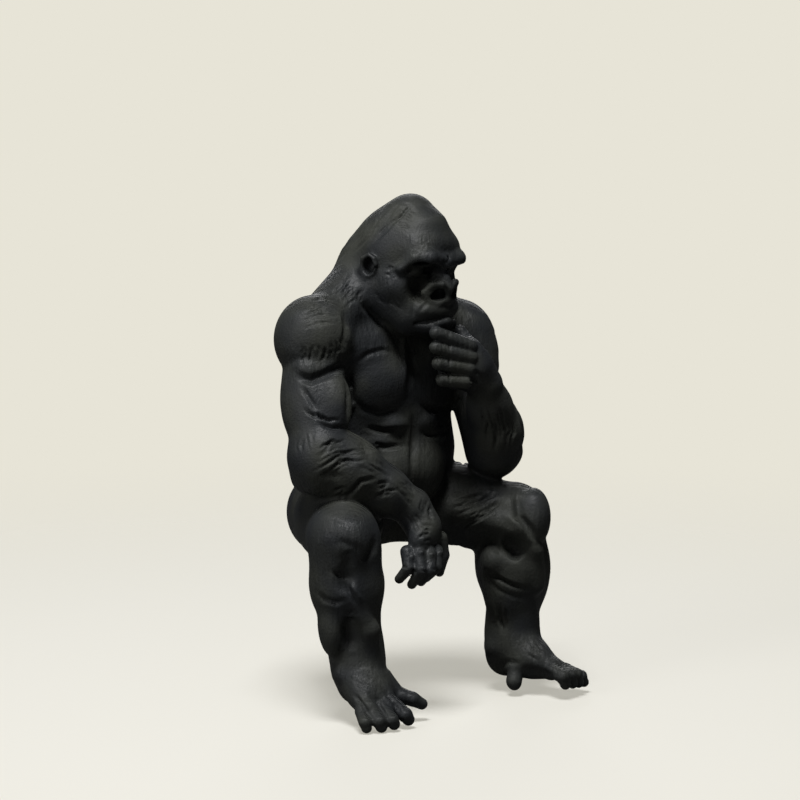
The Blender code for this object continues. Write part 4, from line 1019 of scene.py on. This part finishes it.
# %% Put it into Blender
def new_mesh(name, points, faces):
    """A smooth mesh object at the origin, from points in millimetres."""
    mesh = bpy.data.meshes.new(name)
    mesh.from_pydata((points * MM).tolist(), [], faces.tolist())
    mesh.polygons.foreach_set("use_smooth", np.ones(len(faces), bool))
    mesh.update()
    piece = bpy.data.objects.new(name, mesh)
    bpy.context.scene.collection.objects.link(piece)
    return piece


MOST_TRIANGLES = 196000


def thinned(piece, most):
    """The piece's mesh with small faces joined where it is flat, down to most triangles."""
    triangles = sum(len(face.vertices) - 2 for face in piece.data.polygons)
    if triangles > most:
        fewer = piece.modifiers.new("fewer faces", "DECIMATE")
        fewer.ratio = most / triangles
        view = bpy.context.evaluated_depsgraph_get()
        full = piece.data
        piece.data = bpy.data.meshes.new_from_object(piece.evaluated_get(view))
        piece.modifiers.clear()
        bpy.data.meshes.remove(full)
    return piece


gorilla = thinned(new_mesh("seated_gorilla", points, faces), MOST_TRIANGLES)
print(len(gorilla.data.polygons), "faces are kept")
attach(gorilla, "root")
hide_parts("gorilla_figurine")
print("mesh in place:", gorilla.name)

# %% [markdown]
# ## The finish
# The print is matte black plastic. It is almost black but never pure black, and its fine
# layers catch a little light.

# %% Helpers for node groups
def new_group(name, inputs):
    """An empty group with the named values in, and one height out, in metres."""
    group = bpy.data.node_groups.new(name, "ShaderNodeTree")
    for label, value in inputs.items():
        kind = "NodeSocketVector" if value is None else "NodeSocketFloat"
        socket = group.interface.new_socket(label, in_out="INPUT", socket_type=kind)
        if value is not None:
            socket.default_value = value
    group.interface.new_socket("Height", in_out="OUTPUT", socket_type="NodeSocketFloat")
    return group, group.nodes.new("NodeGroupInput"), group.nodes.new("NodeGroupOutput")


def calc(tree, operation, *values):
    """One sum: numbers are set on the node, and sockets are linked to it."""
    node = tree.nodes.new("ShaderNodeMath")
    node.operation = operation
    for slot, value in zip(node.inputs, values):
        if isinstance(value, (int, float)):
            slot.default_value = value
        else:
            tree.links.new(value, slot)
    return node.outputs[0]


def spread(tree, value, low, high, first=0.0, last=1.0):
    """Maps a value from low..high to first..last, smoothly and held at the ends."""
    node = tree.nodes.new("ShaderNodeMapRange")
    node.interpolation_type = "SMOOTHSTEP"
    for name, number in zip(("From Min", "From Max", "To Min", "To Max"), (low, high, first, last)):
        node.inputs[name].default_value = number
    tree.links.new(value, node.inputs["Value"])
    return node.outputs["Result"]


print("helpers ready:", ", ".join(helper.__name__ for helper in (new_group, calc, spread)))

# %% [markdown]
# The print's layers are about 0.28 mm high. They show where the surface lies nearly level, as
# contour rings on shoulders and knees. A sine of the height draws them, and the slope of the
# surface fades them in.

# %% A node group for the print layers
LAYER, LAYER_DEPTH, GRAIN_DEPTH, HAIR_DEPTH = 0.00028, 1.3e-4, 1.2e-4, 4e-4
STEEP, LEVEL = 0.55, 0.9


def print_layers():
    """Height of the layers: depth times sin(2 pi z / layer), faded in where the surface is
    shallow, because only there are the layers wide enough to be seen."""
    group, come, leave = new_group("print_layers", {"Vector": None, "Layer": LAYER, "Depth": LAYER_DEPTH})
    parts = group.nodes.new("ShaderNodeSeparateXYZ")
    group.links.new(come.outputs["Vector"], parts.inputs[0])
    turns = calc(group, "DIVIDE", parts.outputs["Z"], come.outputs["Layer"])
    wave = calc(group, "SINE", calc(group, "MULTIPLY", turns, 2 * math.pi))
    lie = group.nodes.new("ShaderNodeNewGeometry")
    slope = group.nodes.new("ShaderNodeSeparateXYZ")
    group.links.new(lie.outputs["Normal"], slope.inputs[0])
    shallow = spread(group, slope.outputs["Z"], STEEP, LEVEL)
    height = calc(group, "MULTIPLY", calc(group, "MULTIPLY", wave, come.outputs["Depth"]), shallow)
    group.links.new(height, leave.inputs["Height"])
    return group


layers_group = print_layers()
print("node group:", layers_group.name)

# %% [markdown]
# The skin between the wrinkles has a fine grain, and hair lines that run downwards in
# patches. Both are noise. The hair's is drawn out along one axis, and a broad third noise
# chooses the patches.

# %% A node group for the skin
HAIR_LEAN, HAIR_STRETCH, ROUND = (0.25, 0.15, 0.0), (1, 1, 0.16), (1, 1, 1)
STRAND_SCALE, HAIR_PATCH_SCALE, HAIR_PATCH_EDGE, FINE_SCALE = 900, 70, (0.42, 0.6), 1500


def skin_grain():
    """Height of the skin: fine noise, plus hair lines, which are noise drawn out downwards and
    shown in patches only."""
    group, come, leave = new_group("skin_grain", {"Vector": None, "Grain": GRAIN_DEPTH, "Hair": HAIR_DEPTH})

    def noise(scale, detail, stretch):
        place = group.nodes.new("ShaderNodeMapping")
        place.inputs["Scale"].default_value = stretch
        place.inputs["Rotation"].default_value = HAIR_LEAN
        texture = group.nodes.new("ShaderNodeTexNoise")
        texture.inputs["Scale"].default_value = scale
        texture.inputs["Detail"].default_value = detail
        group.links.new(come.outputs["Vector"], place.inputs["Vector"])
        group.links.new(place.outputs["Vector"], texture.inputs["Vector"])
        return texture.outputs[0]

    strands = noise(STRAND_SCALE, 2, HAIR_STRETCH)
    shown = spread(group, noise(HAIR_PATCH_SCALE, 1, ROUND), *HAIR_PATCH_EDGE)
    hair = calc(group, "MULTIPLY", strands, shown)
    fine = calc(group, "MULTIPLY", noise(FINE_SCALE, 3, ROUND), come.outputs["Grain"])
    height = calc(group, "ADD", fine, calc(group, "MULTIPLY", hair, come.outputs["Hair"]))
    group.links.new(height, leave.inputs["Height"])
    return group


grain_group = skin_grain()
print("node group:", grain_group.name)

# %% [markdown]
# The plastic itself is nearly black, a little bluer where it is darkest and warmer where it
# is lighter, with soft patches of more and less shine, as filament has.

# %% Black plastic
DARK_PLASTIC, PALE_PLASTIC = (0.021, 0.023, 0.025, 1), (0.039, 0.041, 0.034, 1)
SHINIEST, DULLEST, SPECULAR, PATCH_SCALE = 0.5, 0.68, 0.3, 60.0
TONE_EDGE, SHINE_EDGE = (0.35, 0.65), (0.3, 0.7)
plastic = bpy.data.materials.new("black_printed_plastic")
plastic.use_nodes = True
tree = plastic.node_tree
shader = tree.nodes["Principled BSDF"]
place = tree.nodes.new("ShaderNodeTexCoord").outputs["Object"]
heights = []
for group in (layers_group, grain_group):
    node = tree.nodes.new("ShaderNodeGroup")
    node.node_tree = group
    tree.links.new(place, node.inputs["Vector"])
    heights.append(node.outputs["Height"])
bump = tree.nodes.new("ShaderNodeBump")
bump.inputs["Distance"].default_value = 1.0
tree.links.new(calc(tree, "ADD", *heights), bump.inputs["Height"])
tree.links.new(bump.outputs["Normal"], shader.inputs["Normal"])
patches = tree.nodes.new("ShaderNodeTexNoise")
patches.inputs["Scale"].default_value = PATCH_SCALE
tree.links.new(place, patches.inputs["Vector"])
tone = tree.nodes.new("ShaderNodeMix")
tone.data_type = "RGBA"
tone.inputs["A"].default_value = DARK_PLASTIC
tone.inputs["B"].default_value = PALE_PLASTIC
tree.links.new(spread(tree, patches.outputs[0], *TONE_EDGE), tone.inputs["Factor"])
tree.links.new(tone.outputs["Result"], shader.inputs["Base Color"])
roughness = spread(tree, patches.outputs[0], *SHINE_EDGE, SHINIEST, DULLEST)
tree.links.new(roughness, shader.inputs["Roughness"])
shader.inputs["Specular IOR Level"].default_value = SPECULAR
gorilla.data.materials.append(plastic)
print("material:", plastic.name)

# %% [markdown]
# ## The studio
# A plain pale floor, a soft key light from above and a weak fill keep the black forms
# readable. The camera stands where the photograph was taken from, with a long lens.

# %% Floor
low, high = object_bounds()
FLOOR_RADIUS, FADE_START, FADE_END, RIM_POINTS = 0.6, 0.10, 0.42, 96
rim = np.linspace(0, 2 * np.pi, RIM_POINTS, endpoint=False)
ring = np.stack([np.cos(rim), np.sin(rim), 0 * rim], -1) * FLOOR_RADIUS
floor_mesh = bpy.data.meshes.new("floor")
floor_mesh.from_pydata(ring.tolist(), [], [list(range(len(ring)))])
floor = bpy.data.objects.new("floor", floor_mesh)
floor.location.z = low[2]
bpy.context.scene.collection.objects.link(floor)
print("floor at z =", round(low[2], 4))

# %% [markdown]
# The floor has the background's colour to the camera and a darker one to the light, so that
# it keeps the figure's shadow without throwing light up into it. Past its middle it fades
# out, and no edge shows from any side.

# %% The floor's paint
BACKGROUND, FLOOR_LIT, FLOOR_SEEN = (0.80, 0.775, 0.68, 1), (0.10, 0.10, 0.095, 1), (0.37, 0.365, 0.345, 1)
FLOOR_GLOW, FLOOR_ROUGHNESS, FLOOR_SPECULAR = 0.5, 0.9, 0.1
paint = bpy.data.materials.new("pale_floor")
paint.use_nodes = True
nodes, links = paint.node_tree.nodes, paint.node_tree.links
base = nodes["Principled BSDF"]
base.inputs["Roughness"].default_value = FLOOR_ROUGHNESS
base.inputs["Specular IOR Level"].default_value = FLOOR_SPECULAR
ray, tone = nodes.new("ShaderNodeLightPath"), nodes.new("ShaderNodeMix")
tone.data_type = "RGBA"
tone.inputs["A"].default_value = FLOOR_LIT
tone.inputs["B"].default_value = FLOOR_SEEN
links.new(ray.outputs["Is Camera Ray"], tone.inputs["Factor"])
links.new(tone.outputs["Result"], base.inputs["Base Color"])
base.inputs["Emission Color"].default_value = BACKGROUND
glow = nodes.new("ShaderNodeMath")
glow.operation = "MULTIPLY"
glow.inputs[1].default_value = FLOOR_GLOW
links.new(ray.outputs["Is Camera Ray"], glow.inputs[0])
links.new(glow.outputs[0], base.inputs["Emission Strength"])
place, length = nodes.new("ShaderNodeTexCoord"), nodes.new("ShaderNodeVectorMath")
length.operation = "LENGTH"
fade = nodes.new("ShaderNodeMapRange")
fade.interpolation_type = "SMOOTHSTEP"
fade.inputs["From Min"].default_value = FADE_START
fade.inputs["From Max"].default_value = FADE_END
clear, blend = nodes.new("ShaderNodeBsdfTransparent"), nodes.new("ShaderNodeMixShader")
links.new(place.outputs["Object"], length.inputs[0])
links.new(length.outputs["Value"], fade.inputs["Value"])
links.new(fade.outputs["Result"], blend.inputs[0])
links.new(base.outputs[0], blend.inputs[1])
links.new(clear.outputs[0], blend.inputs[2])
links.new(blend.outputs[0], nodes["Material Output"].inputs["Surface"])
floor_mesh.materials.append(paint)
print("paint:", paint.name)

# %% [markdown]
# Three soft lights are enough. The key stands high in front, the fill comes from the near
# side, and the back light draws the edge of the shoulders from behind.

# %% Lights
LIGHT_TARGET = (0.0, -0.02, 0.03)
LIGHTS = dict(key=(12.5, 0.34, (-0.25, -0.20, 1.00)), fill=(2.8, 0.4, (-1.10, -0.08, 0.50)),
              back=(3.0, 0.5, (0.70, 0.85, 0.55)))


def area_light(name, power, size, place):
    """A square soft light at a place in metres, turned to face the target."""
    data = bpy.data.lights.new(name, "AREA")
    data.energy, data.size = power, size
    light = bpy.data.objects.new(name, data)
    bpy.context.scene.collection.objects.link(light)
    light.location = place
    aim = np.array(place) - np.array(LIGHT_TARGET)
    light.rotation_euler = (math.acos(aim[2] / np.linalg.norm(aim)), 0,
                            math.atan2(aim[0], -aim[1]))


for name, (power, size, place) in LIGHTS.items():
    area_light(name, power, size, place)
print("lights:", ", ".join(LIGHTS))

# %% [markdown]
# The world lights the figure weakly and a little blue. The camera, and any glass, sees the
# plain background instead.

# %% The world
SKY, SKY_STRENGTH = (0.92, 0.96, 1.0, 1), 0.03
world = bpy.data.worlds.new("studio")
world.use_nodes = True
nodes, links = world.node_tree.nodes, world.node_tree.links
ray, shown = nodes.new("ShaderNodeLightPath"), nodes.new("ShaderNodeMath")
shown.operation = "MAXIMUM"
sky, plain = nodes["Background"], nodes.new("ShaderNodeBackground")
choose = nodes.new("ShaderNodeMixShader")
sky.inputs["Color"].default_value = SKY
sky.inputs["Strength"].default_value = SKY_STRENGTH
plain.inputs["Color"].default_value = BACKGROUND
links.new(ray.outputs["Is Camera Ray"], shown.inputs[0])
links.new(ray.outputs["Is Transmission Ray"], shown.inputs[1])
links.new(shown.outputs[0], choose.inputs[0])
links.new(sky.outputs[0], choose.inputs[1])
links.new(plain.outputs[0], choose.inputs[2])
links.new(choose.outputs[0], nodes["World Output"].inputs["Surface"])
bpy.context.scene.world = world
print("world:", world.name)

# %% [markdown]
# The camera stands at the eye of the main view, which the scored lines were drawn for. Its
# lens follows from the picture's width and the focal length, both in pixels.

# %% Camera
camera_data = bpy.data.cameras.new("camera")
camera_data.sensor_width = SENSOR
camera_data.lens = SENSOR * FOCAL_PIXELS / FRAME_PIXELS
camera_data.clip_start = 0.01
camera = bpy.data.objects.new("camera", camera_data)
camera.location = (EYE * MM).tolist()
camera.rotation_euler = (math.pi / 2 - ELEVATION, 0, AZIMUTH)
bpy.context.scene.collection.objects.link(camera)
bpy.context.scene.camera = camera
bpy.context.scene.view_settings.view_transform = "Standard"
print("camera at", [round(v, 4) for v in camera.location])
